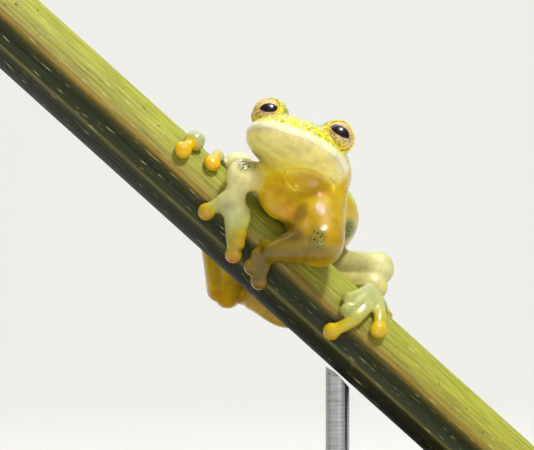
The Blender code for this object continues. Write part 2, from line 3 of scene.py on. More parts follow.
import bmesh
import bpy
import numpy as np
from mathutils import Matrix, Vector


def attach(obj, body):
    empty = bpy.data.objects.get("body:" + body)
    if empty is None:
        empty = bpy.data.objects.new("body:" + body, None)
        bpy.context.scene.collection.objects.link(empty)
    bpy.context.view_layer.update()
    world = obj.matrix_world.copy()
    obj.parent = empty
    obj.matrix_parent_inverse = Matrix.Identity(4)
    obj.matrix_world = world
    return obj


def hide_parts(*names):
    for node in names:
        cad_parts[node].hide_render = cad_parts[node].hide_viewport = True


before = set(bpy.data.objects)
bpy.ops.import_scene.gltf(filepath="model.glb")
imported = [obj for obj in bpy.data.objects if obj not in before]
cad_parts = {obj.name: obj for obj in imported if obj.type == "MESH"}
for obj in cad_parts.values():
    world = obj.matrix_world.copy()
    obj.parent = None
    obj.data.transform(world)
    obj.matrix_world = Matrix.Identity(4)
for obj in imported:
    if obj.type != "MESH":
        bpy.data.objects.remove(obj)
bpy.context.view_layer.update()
print("frame loaded")

# Everything on the frog is in millimetres from the middle of the stem's axis, until placed() puts
# it in the frame in metres. X runs to the right, Y away from the camera, Z up.
millimetre = 0.001
stemMiddle = np.array([0.0, -4.4, 27.4])
forward = np.array([0.0, -1.0, 0.0])


def unit(vectors):  # each row divided by its length
    vectors = np.asarray(vectors, float)
    return vectors / np.linalg.norm(vectors, axis=-1, keepdims=True)


def placed(points):  # from millimetres round the stem to metres in the frame
    return (np.asarray(points) + stemMiddle) * millimetre


def fade(values, low, high):  # 0 below low, 1 above high, an even S between them
    t = np.clip((values - low) / (high - low), 0.0, 1.0)
    return t * t * (3 - 2 * t)


def hump(values, middle, width):  # a bell curve of height 1
    return np.exp(-(((values - middle) / width) ** 2))


def smoothRows(rows, count):  # rows read evenly from a Catmull-Rom curve through the given rows
    rows = np.asarray(rows, float)
    padded = np.vstack([2 * rows[0] - rows[1], rows, 2 * rows[-1] - rows[-2]])
    place = np.linspace(0.0, len(rows) - 1.0, count)
    first = np.minimum(place.astype(int), len(rows) - 2)
    t = (place - first)[:, None]
    a, b, c, d = (padded[first + step] for step in range(4))
    slope = (c - a) * t
    bend = (2 * a - 5 * b + 4 * c - d) * t**2
    return 0.5 * (2 * b + slope + bend + (3 * b - a - 3 * c + d) * t**3)


def closedGrid(rings):  # a skin over an array of rings, whose first and last have shrunk to a point
    rows, sides = rings.shape[:2]
    points = np.vstack([rings[:1, 0], rings[1:-1].reshape(-1, 3), rings[-1:, 0]])
    start = 1 + np.arange(rows - 3)[:, None] * sides + np.arange(sides)
    after = np.roll(start, -1, axis=1)
    quads = np.stack([start, after, after + sides, start + sides], axis=-1).reshape(-1, 4)
    ring = 1 + np.arange(sides)
    beside = np.roll(ring, -1)
    low = np.stack([np.zeros_like(ring), beside, ring], axis=-1)
    high = np.stack([ring, beside, np.full_like(ring, 1 + rows * sides - 2 * sides)], axis=-1)
    high[:, :2] += (rows - 3) * sides
    return points, quads.tolist() + low.tolist() + high.tolist()


# An oval carried along a smooth curve. A row holds x, y, z, half width and half thickness, and
# both ends are closed by half an ellipsoid: shift = reach * sin(a), size = cos(a).
def limbSurface(rows, flat, sides=36, count=48):
    rows = smoothRows(rows, count)
    tangents = unit(np.gradient(rows[:, :3], axis=0))
    normals = flat(rows[:, :3])
    normals = unit(normals - tangents * np.sum(tangents * normals, axis=1, keepdims=True))
    acrosses = np.cross(tangents, normals)
    cap = np.linspace(0.0, math.pi / 2, 8)[1:]
    place = np.concatenate([np.zeros(len(cap), int), np.arange(count), np.full(len(cap), count - 1)])
    size = np.concatenate([np.cos(cap)[::-1], np.ones(count), np.cos(cap)])[:, None, None]
    shift = np.concatenate([-np.sin(cap)[::-1], np.zeros(count), np.sin(cap)])
    reach = np.minimum(rows[place, 3], rows[place, 4])
    middle = rows[place, :3] + tangents[place] * (shift * reach)[:, None]
    turn = np.linspace(0.0, 2 * math.pi, sides, endpoint=False)[None, :, None]
    wide = rows[place, 3][:, None, None] * np.cos(turn) * acrosses[place][:, None, :]
    thick = rows[place, 4][:, None, None] * np.sin(turn) * normals[place][:, None, :]
    return closedGrid(middle[:, None, :] + (wide + thick) * size)


# An ellipsoid on three axes: middle + a cos(u) sin(v) + b sin(u) sin(v) - c cos(v)
def ballSurface(middle, axes, half, sides=40, rows=24):
    around = np.linspace(0.0, 2 * math.pi, sides, endpoint=False)[None, :, None]
    polar = np.linspace(0.0, math.pi, rows + 1)[:, None, None]
    first, second, third = (np.asarray(axis) * size for axis, size in zip(axes, half))
    flatPart = (np.cos(around) * first + np.sin(around) * second) * np.sin(polar)
    return closedGrid(np.asarray(middle) + flatPart - np.cos(polar) * third)


def newPiece(name, points, faces):  # an object at the origin, its place in its mesh
    mesh = bpy.data.meshes.new(name)
    mesh.from_pydata(np.asarray(points).tolist(), [], faces)
    mesh.update()
    mesh.shade_smooth()
    piece = bpy.data.objects.new(name, mesh)
    bpy.context.scene.collection.objects.link(piece)
    return piece


def readArray(items, name, width, kind=np.float32):  # one property of all of a mesh's items
    values = np.zeros(len(items) * width, kind)
    items.foreach_get(name, values)
    return values.reshape(-1, width)


def putPoints(mesh, points):
    mesh.vertices.foreach_set("co", np.ascontiguousarray(points, np.float32).ravel())
    mesh.update()


def putColours(mesh, name, values):  # a colour or three masks for each point, for a material
    layer = mesh.attributes.new(name, "FLOAT_COLOR", "POINT")
    values = np.hstack([values, np.ones((len(values), 1))])
    layer.data.foreach_set("color", np.ascontiguousarray(values, np.float32).ravel())


def putVectors(mesh, name, values):  # a place for each point, for a material
    layer = mesh.attributes.new(name, "FLOAT_VECTOR", "POINT")
    layer.data.foreach_set("vector", np.ascontiguousarray(values, np.float32).ravel())


# Faces whose corners are all chosen are split in four, and their neighbours stay closed to them
def finer(mesh, chosen):
    body = bmesh.new()
    body.from_mesh(mesh)
    edges = [edge for edge in body.edges if chosen[edge.verts[0].index] and chosen[edge.verts[1].index]]
    bmesh.ops.subdivide_edges(body, edges=edges, cuts=1, use_grid_fill=True)
    bmesh.ops.triangulate(body, faces=[face for face in body.faces if len(face.verts) > 4])
    body.to_mesh(mesh)
    body.free()


# One skin over many closed shapes: they are joined, and a voxel remesh keeps only the outside
def oneSkin(name, shapes, voxel):
    points, faces, offset = [], [], 0
    for shapePoints, shapeFaces in shapes:
        points.append(shapePoints)
        faces += [[corner + offset for corner in face] for face in shapeFaces]
        offset += len(shapePoints)
    rough = newPiece("rough", np.vstack(points), faces)
    remesh = rough.modifiers.new("one skin", "REMESH")
    remesh.mode = "VOXEL"
    remesh.voxel_size = voxel
    view = bpy.context.evaluated_depsgraph_get()
    mesh = bpy.data.meshes.new_from_object(rough.evaluated_get(view))
    mesh.name = name
    bpy.data.objects.remove(rough)
    return mesh


def neighbourMean(values, edges, counts):  # the mean of each point's neighbours
    total = np.zeros_like(values)
    for column in range(values.shape[1]):
        for here, there in ((0, 1), (1, 0)):
            beside = values[edges[:, there], column]
            total[:, column] += np.bincount(edges[:, here], beside, len(values))
    return total / counts[:, None]


# Even smoothing without shrinking: a step towards the neighbours' mean, then a longer one back
def relaxed(points, edges, rounds):
    counts = np.bincount(edges.ravel(), minlength=len(points)).astype(float)
    for step in range(rounds):
        points = points + 0.5 * (neighbourMean(points, edges, counts) - points)
        points = points - 0.51 * (neighbourMean(points, edges, counts) - points)
    return points


def melted(points, edges, rounds, strength):  # plain smoothing, which rounds off creases
    counts = np.bincount(edges.ravel(), minlength=len(points)).astype(float)
    for step in range(rounds):
        points = points + 0.5 * strength[:, None] * (neighbourMean(points, edges, counts) - points)
    return points


def hexColour(code):  # an sRGB hex value as linear light
    value = np.array([int(code[place:place + 2], 16) for place in (0, 2, 4)]) / 255
    return np.where(value <= 0.04045, value / 12.92, ((value + 0.055) / 1.055) ** 2.4)


def asSocketValue(value):  # a hex value becomes a colour, and anything else stays as it is
    return (*hexColour(value), 1.0) if isinstance(value, str) else value


def addNode(tree, kind, inputs=None, stops=None, **settings):  # a node, its settings and its links
    node = tree.nodes.new("ShaderNode" + kind)
    for name, value in settings.items():
        setattr(node, name, value)
    for socket, value in (inputs or {}).items():
        if isinstance(value, bpy.types.NodeSocket):
            tree.links.new(value, node.inputs[socket])
        else:
            node.inputs[socket].default_value = asSocketValue(value)
    for number, (place, code) in enumerate(stops or []):
        elements = node.color_ramp.elements
        stop = elements[number] if number < 2 else elements.new(place)
        stop.position = place
        stop.color = (*hexColour(code), 1.0)
    return node


def newMaterial(name, **values):  # a material with the uniform values of its one shader
    material = bpy.data.materials.new(name)
    material.use_nodes = True
    shader = material.node_tree.nodes["Principled BSDF"]
    for socket, value in values.items():
        shader.inputs[socket.replace("_", " ")].default_value = asSocketValue(value)
    return material, material.node_tree, shader


# Settings of a Mix node that lays one colour over another, multiplies two or adds them, with the
# share on socket 0, the colours on 6 and 7 and the result on output 2
layOver = {"data_type": "RGBA"}
tint = {"data_type": "RGBA", "blend_type": "MULTIPLY"}
addUp = {"data_type": "RGBA", "blend_type": "ADD"}


# The stem, which the rest is set against, in millimetres and degrees round it
stem = {
    "radius": 3.12,
    "length": 57.0,
    "slope": math.radians(42.0),
    "ridge": 0.16,
    "ridges": [(84.0, 9.0), (121.0, 8.0), (264.0, 10.0)],  # middle and width of each
    "groove": 0.14,
    "grooves": [(103.0, 8.0), (282.0, 9.0)],
    "inset": 0.05,
    "fibre": 0.012,
    "endInset": 0.35,
    "sides": 288,
    "rows": 150,
}
stemAlong = np.array([math.cos(stem["slope"]), 0.0, -math.sin(stem["slope"])])
stemUp = np.array([math.sin(stem["slope"]), 0.0, math.cos(stem["slope"])])


def roundStem(places):  # points at places along the stem, degrees round it and heights off it
    places = np.asarray(places, float)
    angle = np.radians(places[..., 1:2])
    outward = stemUp * np.cos(angle) + forward * np.sin(angle)
    return stemAlong * places[..., :1] + outward * (stem["radius"] + places[..., 2:3])


def offStem(points):  # unit vectors from the stem's axis to points
    points = np.asarray(points, float)
    return unit(points - (points @ stemAlong)[..., None] * stemAlong)


# The stem's radius at angles in degrees, 0 on its upper edge and 90 at the front: two ridges with
# a shallow groove between them on the front, and one of each behind
def stemProfile(angles):
    ridges, grooves = (
        sum(hump((angles - middle + 180.0) % 360.0 - 180.0, 0.0, width) for middle, width in stem[kind])
        for kind in ("ridges", "grooves")
    )
    return stem["radius"] + stem["ridge"] * ridges - stem["groove"] * grooves - stem["inset"]


# Points inside the stem, or nearer than a hair, moved straight out to just above its surface
def clearOfStem(points, gap):
    along = points @ stemAlong
    across = points - along[:, None] * stemAlong
    away = np.linalg.norm(across, axis=1)
    angles = np.degrees(np.arctan2(across @ forward, across @ stemUp))
    needed = stemProfile(angles) + gap
    moved = along[:, None] * stemAlong + across * (needed / np.maximum(away, 1e-6))[:, None]
    return np.where((away < needed)[:, None], moved, points)


# The head in its own directions, from the tip of its snout: sideways, back and up
head = {
    "tip": np.array([3.2, -6.8, 8.4]),
    "roll": math.radians(21.5),
    "pitch": math.radians(16.0),
    "yaw": math.radians(10.0),
    "length": 8.6,
    "jawHalfWidth": 4.2,
    "jawCorner": 5.2,
    "neckHalfWidth": 3.5,
    "neckShift": 1.2,
    "topKnots": (0.0, 0.25, 0.7, 1.4, 2.4, 3.6, 6.0, 8.5),
    "topHeights": (0.0, 0.85, 1.5, 1.95, 2.35, 2.7, 2.8, 2.5),
    "lowKnots": (0.0, 0.25, 0.7, 1.6, 3.2, 5.6, 8.5),
    "lowDepths": (0.0, 0.45, 0.75, 1.05, 1.45, 1.8, 2.0),
    "rings": 90,
    "sides": 120,
    "nostril": (1.2, 0.4, 1.0),
}


def headAxes():  # the head's left, backward and upward directions
    roll, pitch, yaw = head["roll"], head["pitch"], head["yaw"]
    left = np.array([1.0, 0.0, 0.0])
    back = np.array([0.0, math.cos(pitch), -math.sin(pitch)])
    up = np.array([0.0, math.sin(pitch), math.cos(pitch)])
    turn = np.array([
        [math.cos(roll), 0.0, math.sin(roll)],
        [0.0, 1.0, 0.0],
        [-math.sin(roll), 0.0, math.cos(roll)],
    ])
    turnedBack = back * math.cos(yaw) + left * math.sin(yaw)
    turnedLeft = left * math.cos(yaw) - back * math.sin(yaw)
    return turn @ turnedLeft, turn @ turnedBack, turn @ up


headLeft, headBack, headUp = headAxes()


def inHead(side, back, up):  # the place of points given by the head's own directions
    side, back, up = (np.asarray(value, float)[..., None] for value in (side, back, up))
    return head["tip"] + side * headLeft + back * headBack + up * headUp


def headPlaces(points):  # side, back and up of points, in the head's own directions
    local = points - head["tip"]
    return local @ headLeft, local @ headBack, local @ headUp


# A curve through the knots, rounded by averaging it nearby, that starts from nothing at the snout
def smoothProfile(places, knots, values):
    near = np.linspace(-0.25, 0.25, 9)[:, None]
    return np.interp(np.abs(places + near), knots, values).mean(axis=0) * fade(places, -0.05, 0.3)


# Rings from the snout back: wide = half width * cos^p, high = height * sin^0.9, with the lower
# jaw set in under the lip
def headSurface():
    share = np.linspace(0.0, 1.0, head["rings"])
    back = (1 - np.cos(share * math.pi / 2)) * head["length"]
    reach = np.minimum(back / head["jawCorner"], 1.0)
    width = head["jawHalfWidth"] * np.sqrt(1 - (1 - reach) ** 2.4)
    neck = np.clip((back - head["jawCorner"]) / (8.0 - head["jawCorner"]), 0.0, 1.2)
    width = width + (head["neckHalfWidth"] - head["jawHalfWidth"]) * neck**2
    top = smoothProfile(back, head["topKnots"], head["topHeights"])
    low = smoothProfile(back, head["lowKnots"], head["lowDepths"])
    shift = head["neckShift"] * np.clip((back - 3.0) / 5.0, 0.0, 1.2) ** 2
    turn = np.linspace(0.0, 2 * math.pi, head["sides"], endpoint=False)
    rise = np.sin(turn)
    above = rise >= 0
    across = np.sign(np.cos(turn)) * np.abs(np.cos(turn)) ** np.where(above, 0.85, 2.3)
    upward = np.sign(rise) * np.abs(rise) ** 0.9
    height = np.where(above[None, :], top[:, None], low[:, None]) * upward
    backs = np.broadcast_to(back[:, None], height.shape)
    rings = inHead(width[:, None] * across + shift[:, None], backs, height)
    rings[0] = inHead(0.0, 0.0, 0.0)
    rings[-1] = rings[-1].mean(axis=0)
    return closedGrid(rings)


# The eyes, in the head's directions. Their gaze is turned outward and upward from straight ahead.
eyes = {
    "radius": 1.25,
    "side": 2.95,
    "back": 3.6,
    "up": 2.2,
    "outward": math.radians(28.0),
    "upward": math.radians(8.0),
    "moundRadius": 1.52,
    "moundInset": 0.42,
    "lidForward": 0.36,
    "socketGap": 0.005,
    # each pupil by its side: middle across and up, tilt in degrees and half sizes, in eye radii
    "pupils": {1: (0.16, 0.417, -35.0, 0.66, 0.33), -1: (0.064, 0.385, 3.0, 0.56, 0.29)},
}


def eyeMiddle(side):
    return inHead(eyes["side"] * side, eyes["back"], eyes["up"])


def eyeFrame(side):  # across, up and out of an eye's opening
    outward = headLeft * side * math.sin(eyes["outward"]) - headBack * math.cos(eyes["outward"])
    gaze = unit(outward * math.cos(eyes["upward"]) + headUp * math.sin(eyes["upward"]))
    across = unit(np.cross(headUp, gaze))
    return across, np.cross(gaze, across), gaze


def moundSurface(side):  # the swelling of the head round an eye: a larger ball, set back from it
    middle = eyeMiddle(side) - eyeFrame(side)[2] * eyes["moundInset"]
    return ballSurface(middle, eyeFrame(side), [eyes["moundRadius"]] * 3, 64, 40)


def lidRing():  # the radius of the opening between the lids, at the middle of their thickness
    return math.sqrt(eyes["radius"] ** 2 - eyes["lidForward"] ** 2) + 0.03


# The front of the mound, inside the opening of the lids, is turned back round the ball of the eye
# as a socket: its share of the way in from the rim becomes the angle, from the rim to the back pole
def openSocket(points, side):
    gaze = eyeFrame(side)[2]
    local = points - eyeMiddle(side)
    out = local @ gaze
    sideways = local - out[:, None] * gaze
    ring = np.linalg.norm(sideways, axis=1)
    radius = eyes["radius"] + eyes["socketGap"]
    inside = (ring < lidRing()) & (out > 0.0) & (np.linalg.norm(local, axis=1) < 1.7)
    rimAngle = math.acos(eyes["lidForward"] / radius)
    angle = rimAngle + (math.pi - rimAngle) * (1 - np.clip(ring / lidRing(), 0.0, 1.0)) ** 0.8
    direction = sideways / np.maximum(ring, 1e-6)[:, None]
    turned = np.cos(angle)[:, None] * gaze + np.sin(angle)[:, None] * direction
    moved = eyeMiddle(side) + radius * turned
    return np.where(inside[:, None], moved, points)


trunk = {
    # from the neck to the vent: middle, half width, half thickness and roll in degrees
    "stations": [
        ((4.6, -0.6, 5.1), 2.8, 2.2, 19.0),
        ((4.75, 1.2, 4.1), 3.0, 2.3, 15.0),
        ((4.9, 4.0, 2.4), 4.05, 2.7, 20.0),
        ((3.3, 7.6, 0.6), 3.7, 3.0, 33.0),
        ((1.3, 10.6, -0.9), 2.7, 2.3, 40.0),
        ((0.5, 11.8, -1.6), 1.6, 1.4, 40.0),
    ],
    "lobeMiddle": (2.35, -2.5, 3.8),
    "lobeTip": (3.2, -3.1, 2.2),
    "lobeHalf": (1.75, 1.45, 2.45),
    "tilt": math.radians(20.0),
    # ellipsoids that fill out the chest and the neck: middle and half sizes
    "throat": ((4.6, -1.6, 5.0), (3.5, 2.0, 1.9)),
    "breast": ((4.9, -1.3, 3.1), (2.8, 2.2, 2.3)),
    "sac": ((4.75, -3.0, 4.7), (2.0, 0.9, 1.15)),
    "belly": ((5.0, -3.1, 1.8), (2.3, 1.95, 2.2)),
    "nape": ((4.7, 1.0, 5.5), (3.1, 2.3, 1.75)),
}
trunkBalls = ("throat", "breast", "sac", "belly", "nape")


def trunkFlat(points):  # the trunk's direction of thickness, which rolls from the neck to the hips
    middles = np.array([station[0] for station in trunk["stations"]])
    rolls = np.radians([station[3] for station in trunk["stations"]])
    away = np.linalg.norm(points[:, None, :] - middles[None], axis=2)
    weights = 1 / (away + 0.5) ** 3
    roll = (weights @ rolls) / weights.sum(axis=1)
    across = np.stack([np.cos(roll), np.zeros_like(roll), -np.sin(roll)], axis=1)
    return np.cross(across, unit(middles[-1] - middles[0]))


# The trunk is an oval carried through the stations, with five ellipsoids and a hanging chest lobe
def trunkShapes():
    rows = [(*middle, wide, thick) for middle, wide, thick, roll in trunk["stations"]]
    down = unit(np.array(trunk["lobeTip"]) - np.array(trunk["lobeMiddle"]))
    across = unit(np.cross(down, forward))
    tilted = (
        np.array([math.cos(trunk["tilt"]), 0.0, -math.sin(trunk["tilt"])]),
        -forward,
        np.array([math.sin(trunk["tilt"]), 0.0, math.cos(trunk["tilt"])]),
    )
    return [
        limbSurface(rows, trunkFlat, 90, 90),
        ballSurface(trunk["lobeMiddle"], (across, np.cross(down, across), down), trunk["lobeHalf"]),
    ] + [ballSurface(trunk[name][0], tilted, trunk[name][1]) for name in trunkBalls]


# Where the lengths of limb start and end
joints = {
    "right": {
        "shoulder": (1.8, -0.4, 5.0),
        "elbow": (-0.6, -3.4, 5.25),
        "wrist": (-1.35, -3.75, 3.3),
        "hip": (-0.8, 11.0, -0.4),
        "knee": (-1.0, 2.3, 5.9),
        "fold": (-1.1, 2.4, 5.6),
        "heel": (-1.9, 9.1, -4.5),
        "hock": (-2.6, 8.8, -4.0),
        "ankle": (-3.7, 4.5, 1.6),
    },
    "left": {
        "shoulder": (6.1, -0.5, 4.2),
        "elbow": (5.4, -4.3, 0.1),
        "wrist": (1.8, -4.5, -0.7),
        "hip": (1.6, 11.0, -2.2),
        "knee": (10.3, 3.6, -2.2),
        "fold": (9.9, 2.9, -3.6),
        "heel": (-0.3, 9.4, -4.3),
        "hock": (0.3, 8.8, -4.7),
        "ankle": (8.3, 3.3, -4.3),
    },
}

# Each length of limb: its two joints, its half thickness at the start, middle and end, and how
# far its middle stands aside
limbs = {
    "upperArm": ("shoulder", "elbow", {"right": (1.2, 1.25, 1.3), "left": (1.75, 1.95, 2.1)}, {}),
    "forearm": ("elbow", "wrist", {"right": (1.3, 0.9, 0.75), "left": (1.9, 1.4, 0.8)}, {}),
    "thigh": ("hip", "knee", {"right": (1.3, 1.55, 1.4), "left": (1.3, 1.55, 1.4)}, {}),
    "shank": ("fold", "heel", {"right": (1.25, 1.2, 1.1), "left": (1.25, 1.2, 1.1)}, {}),
    "tarsus": (
        "hock",
        "ankle",
        {"right": (1.05, 0.75, 0.7), "left": (1.05, 0.75, 0.7)},
        {"right": (-0.05, 0.0, 0.0), "left": (-0.9, 0.9, -1.9)},
    ),
}


def limbRows(kind, side):  # the start, middle and end of a length of limb with their girths
    start, end, girths, bend = limbs[kind]
    first, last = (np.array(joints[side][name]) for name in (start, end))
    middle = (first + last) / 2 + np.array(bend.get(side, (0.0, 0.0, 0.0)))
    return [(*point, girth, girth) for point, girth in zip((first, middle, last), girths[side])]


# The hands and feet. A digit's line is given by places along the stem and degrees round it, and a
# web by its two digits and how far along them it reaches.
digits = {
    "hand": {
        "halfWidth": {"right": 0.5, "left": 0.44},
        "base": {"right": (-3.5, 62.0), "left": (1.7, 86.0)},
        "joint": "wrist",
        "palm": {"right": 1.3, "left": 0.95},
        "pad": 0.72,
        "webs": {
            "right": [(0, 1, 0.8), (1, 3, 0.95)],
            "left": [(0, 1, 0.6), (1, 2, 0.6), (0, 3, 0.6)],
        },
        "lines": {
            "right": [
                [(-3.9, 83.0), (-4.15, 98.0)],
                [(-1.75, 88.0), (-0.76, 102.0)],
                [(-1.6, 95.0), (-0.3, 117.0)],
                [(-2.0, 66.0), (-1.3, 82.0), (-1.1, 93.0)],
            ],
            "left": [
                [(1.4, 88.0), (1.25, 95.0)],
                [(1.6, 100.0), (1.45, 112.0)],
                [(2.3, 108.0), (2.6, 121.0)],
                [(1.6, 78.0), (1.2, 80.0)],
            ],
        },
    },
    "foot": {
        "halfWidth": {"right": 0.46, "left": 0.5},
        "base": {"right": (-4.1, -98.0), "left": (9.7, 9.0)},
        "joint": "ankle",
        "palm": {"right": 0.8, "left": 0.8},
        "pad": 0.72,
        "webs": {
            "right": [(0, 1, 0.55), (0, 2, 0.55), (1, 3, 0.55)],
            "left": [(0, 1, 1.0), (1, 2, 0.95), (2, 3, 0.5)],
        },
        "lines": {
            "right": [
                [(-8.1, -45.0), (-8.5, 0.0), (-8.8, 57.0)],
                [(-6.0, -45.0), (-6.5, 0.0), (-6.4, 41.0)],
                [(-8.2, -70.0), (-10.0, -45.0)],
                [(-3.8, -75.0), (-3.4, -42.0)],
                [(-3.2, -92.0), (-2.2, -78.0)],
            ],
            "left": [
                [(9.2, 36.0), (8.7, 57.0)],
                [(9.6, 50.0), (9.2, 72.0)],
                [(10.2, 40.0), (10.2, 74.0), (9.5, 105.0)],
                [(11.2, 34.0), (12.2, 62.0)],
                [(10.8, -8.0), (12.0, -36.0)],
            ],
        },
    },
}
digitSize = {"halfThickness": 0.42, "lift": 0.38, "palmExtra": 0.15, "webHalf": 0.22, "padHalf": 0.55}
bentToe = {"place": (-8.65, 31.0, 0.4), "radius": 0.85}  # the right foot's toe joint over the edge


def palmLift():  # the palm's middle lies a little higher off the stem than a digit's
    return digitSize["lift"] + digitSize["palmExtra"]


def digitRows(kind, side, number):  # a digit's line from the palm to its tip, with its height
    line = [digits[kind]["base"][side], *digits[kind]["lines"][side][number]]
    lifts = [palmLift()] + [digitSize["lift"]] * (len(line) - 1)
    return [(*place, lift) for place, lift in zip(line, lifts)]


def seeThrough(kind, side, number):  # the two short toes under the web of the left foot
    return kind == "foot" and side == "left" and number < 2


# A finger or toe, wide where it leaves the palm: wide = half width * (1 + 0.6 (1 - t)^2)
def digitSurface(kind, side, number):
    share = np.linspace(0.0, 1.0, 40)
    centres = roundStem(smoothRows(digitRows(kind, side, number), 40))
    wide = digits[kind]["halfWidth"][side] * (1 + 0.6 * (1 - share) ** 2)
    wide = wide * (0.7 if seeThrough(kind, side, number) else 1.0)
    thick = digitSize["halfThickness"] * (1.05 - 0.15 * share)
    return limbSurface(np.column_stack([centres, wide, thick]), offStem, 24, 40)


def padSurface(kind, side, number):  # the round disc at a digit's tip, an ellipsoid lying flat
    line = smoothRows(digitRows(kind, side, number), 12)
    tip, before = roundStem(line[-1]), roundStem(line[-2])
    outward = offStem(tip)
    along = tip - before
    along = unit(along - outward * (along @ outward))
    radius = digits[kind]["pad"] * (0.7 if seeThrough(kind, side, number) else 1.0)
    axes = (along, np.cross(outward, along), outward)
    return ballSurface(tip + outward * 0.02, axes, (radius, radius, digitSize["padHalf"]), 28, 16)


# The skin between two digits: straight across from line to line, as far along them as its reach,
# with its free edge hollowed, and its two faces as one closed sheet
def webSurface(kind, side, first, second, reach):
    steps, spans = 14, 12
    lines = [smoothRows(digitRows(kind, side, number), 40) for number in (first, second)]
    share = np.linspace(0.0, 1.0, spans)[:, None]
    depth = reach * (1 - 0.3 * np.sin(math.pi * share)) * np.linspace(0.0, 1.0, steps)[None, :] * 39
    low = np.minimum(depth.astype(int), 38)
    part = (depth - low)[..., None]
    sides = [line[low] * (1 - part) + line[low + 1] * part for line in lines]
    middle = sides[0] * (1 - share[..., None]) + sides[1] * share[..., None]
    lift = np.array([0.0, 0.0, digitSize["webHalf"]])
    top, under = roundStem(middle + lift), roundStem(middle - lift * 1.3)
    rings = np.concatenate([top, under[:, ::-1]], axis=1)
    count = rings.shape[1]
    ends = [ring.mean(axis=0, keepdims=True).repeat(count, axis=0)[None] for ring in rings[[0, -1]]]
    return closedGrid(np.concatenate([ends[0], rings, ends[1]]))


# A palm or sole, an oval that flattens towards the stem, with its digits, their pads and the webs
def extremityShapes(kind, side):
    size = digits[kind]
    start = np.array(joints[side][size["joint"]])
    palmEnd = roundStem((*size["base"][side], palmLift()))
    wide = size["palm"][side]
    middle = (start + palmEnd) / 2
    rows = [(*start, wide * 0.8, 0.68), (*middle, wide, 0.64), (*palmEnd, wide * 0.85, 0.46)]
    shapes = [limbSurface(rows, offStem, 30, 24)]
    for number in range(len(size["lines"][side])):
        shapes += [digitSurface(kind, side, number), padSurface(kind, side, number)]
    for first, second, reach in size["webs"][side]:
        shapes.append(webSurface(kind, side, first, second, reach))
    return shapes


skin = {
    "voxel": 0.145,
    "stemGap": 0.02,
    # rounds of smoothing: all over, over the deep creases, over the light ones and round the lips
    "evenRounds": 5,
    "deepRounds": 76,
    "lightRounds": 15,
    "lipRounds": 16,
}

# Places on the trunk and arms where folds are smoothed away, each with its inner and outer radius
deepCreases = [
    ((4.6, -1.6, 4.2), 2.6, 4.2),
    ((5.6, -2.4, 2.6), 1.8, 3.0),
    ((4.6, 1.5, 7.0), 2.6, 4.2),
    ((6.9, 0.9, 6.0), 1.7, 3.2),
    ((2.4, 0.9, 7.4), 1.4, 2.6),
    ((7.4, -2.4, 4.6), 1.2, 2.4),
    ((6.0, -3.6, 3.9), 1.0, 2.2),
    ((3.9, -3.6, 2.0), 1.2, 2.4),
    ((5.2, -4.0, 1.2), 1.9, 3.2),
    ((3.6, -4.0, 0.4), 0.7, 1.6),
    ((-1.2, -4.0, 3.2), 0.8, 1.7),
]
# The same for joints, by name, and for the hands' bases
lightCreases = [("shoulder", 1.6, 3.2), ("elbow", 0.9, 2.0), ("hip", 1.6, 3.2), ("wrist", 0.7, 1.5)]
handCrease = (0.8, 1.7)

# Heights of the skin's small forms in millimetres
relief = {
    "mouthGroove": 0.035,
    "lipRoll": 0.05,
    "nostril": 0.2,
    "nostrilRim": 0.05,
    "lidEdge": 0.03,
    "sacRim": 0.14,
}
sacFold = {
    "across": 4.75,
    "rise": 4.7,
    "halfWidth": 2.0,
    "halfHeight": 1.1,
    "tilt": math.radians(22.0),
}


def skinShapes():
    shapes = [headSurface()] + trunkShapes() + [moundSurface(1), moundSurface(-1)]
    for side in ("right", "left"):
        shapes += [limbSurface(limbRows(kind, side), offStem) for kind in limbs]
        for kind in digits:
            shapes += extremityShapes(kind, side)
    toeJoint = roundStem(bentToe["place"])
    shapes.append(ballSurface(toeJoint, np.eye(3), [bentToe["radius"]] * 3, 28, 16))
    return shapes


def nearAny(points, places):  # 1 within a place's inner radius, falling to 0 at its outer one
    total = np.zeros(len(points))
    for middle, inner, outer in places:
        away = np.linalg.norm(points - np.asarray(middle), axis=1)
        total = np.maximum(total, 1 - fade(away, inner, outer))
    return total


def aboutEye(points, side):  # how far out along the gaze, and how far from its line, points are
    local = points - eyeMiddle(side)
    out = local @ eyeFrame(side)[2]
    return out, np.linalg.norm(local - out[:, None] * eyeFrame(side)[2], axis=1)


def headShare(points):  # 1 on the head, falling to 0 over the neck and away from it
    side, back, up = headPlaces(points)
    size = np.sqrt((side / 4.9) ** 2 + ((back - 3.0) / 4.6) ** 2 + ((up - 0.8) / 3.6) ** 2)
    return 1 - fade(size, 0.95, 1.15)


# Heights along the skin's outward direction, in millimetres: the groove of the mouth with a roll
# above and below it, the nostrils with their rims, the edges of the lids, and the sac's rim
def skinRelief(points):
    back, up = headPlaces(points)[1:]
    mouth = headShare(points) * (1 - fade(back, 4.6, 5.6))
    groove = -relief["mouthGroove"] * hump(up, 0.0, 0.09)
    height = mouth * (groove + relief["lipRoll"] * hump(up, 0.36, 0.24))
    for sign in (1, -1):
        away = np.linalg.norm(points - nostrilMiddle(sign), axis=1)
        height = height - relief["nostril"] * hump(away, 0.0, 0.17)
        height = height + relief["nostrilRim"] * hump(away, 0.36, 0.12)
        out, ring = aboutEye(points, sign)
        rim = hump(out, eyes["lidForward"] - 0.03, 0.14) * hump(ring, lidRing() + 0.12, 0.16)
        height = height + relief["lidEdge"] * rim
    return height + sacRim(points) * relief["sacRim"]


def nostrilMiddle(sign):
    return inHead(*(np.array(head["nostril"]) * (sign, 1, 1)))


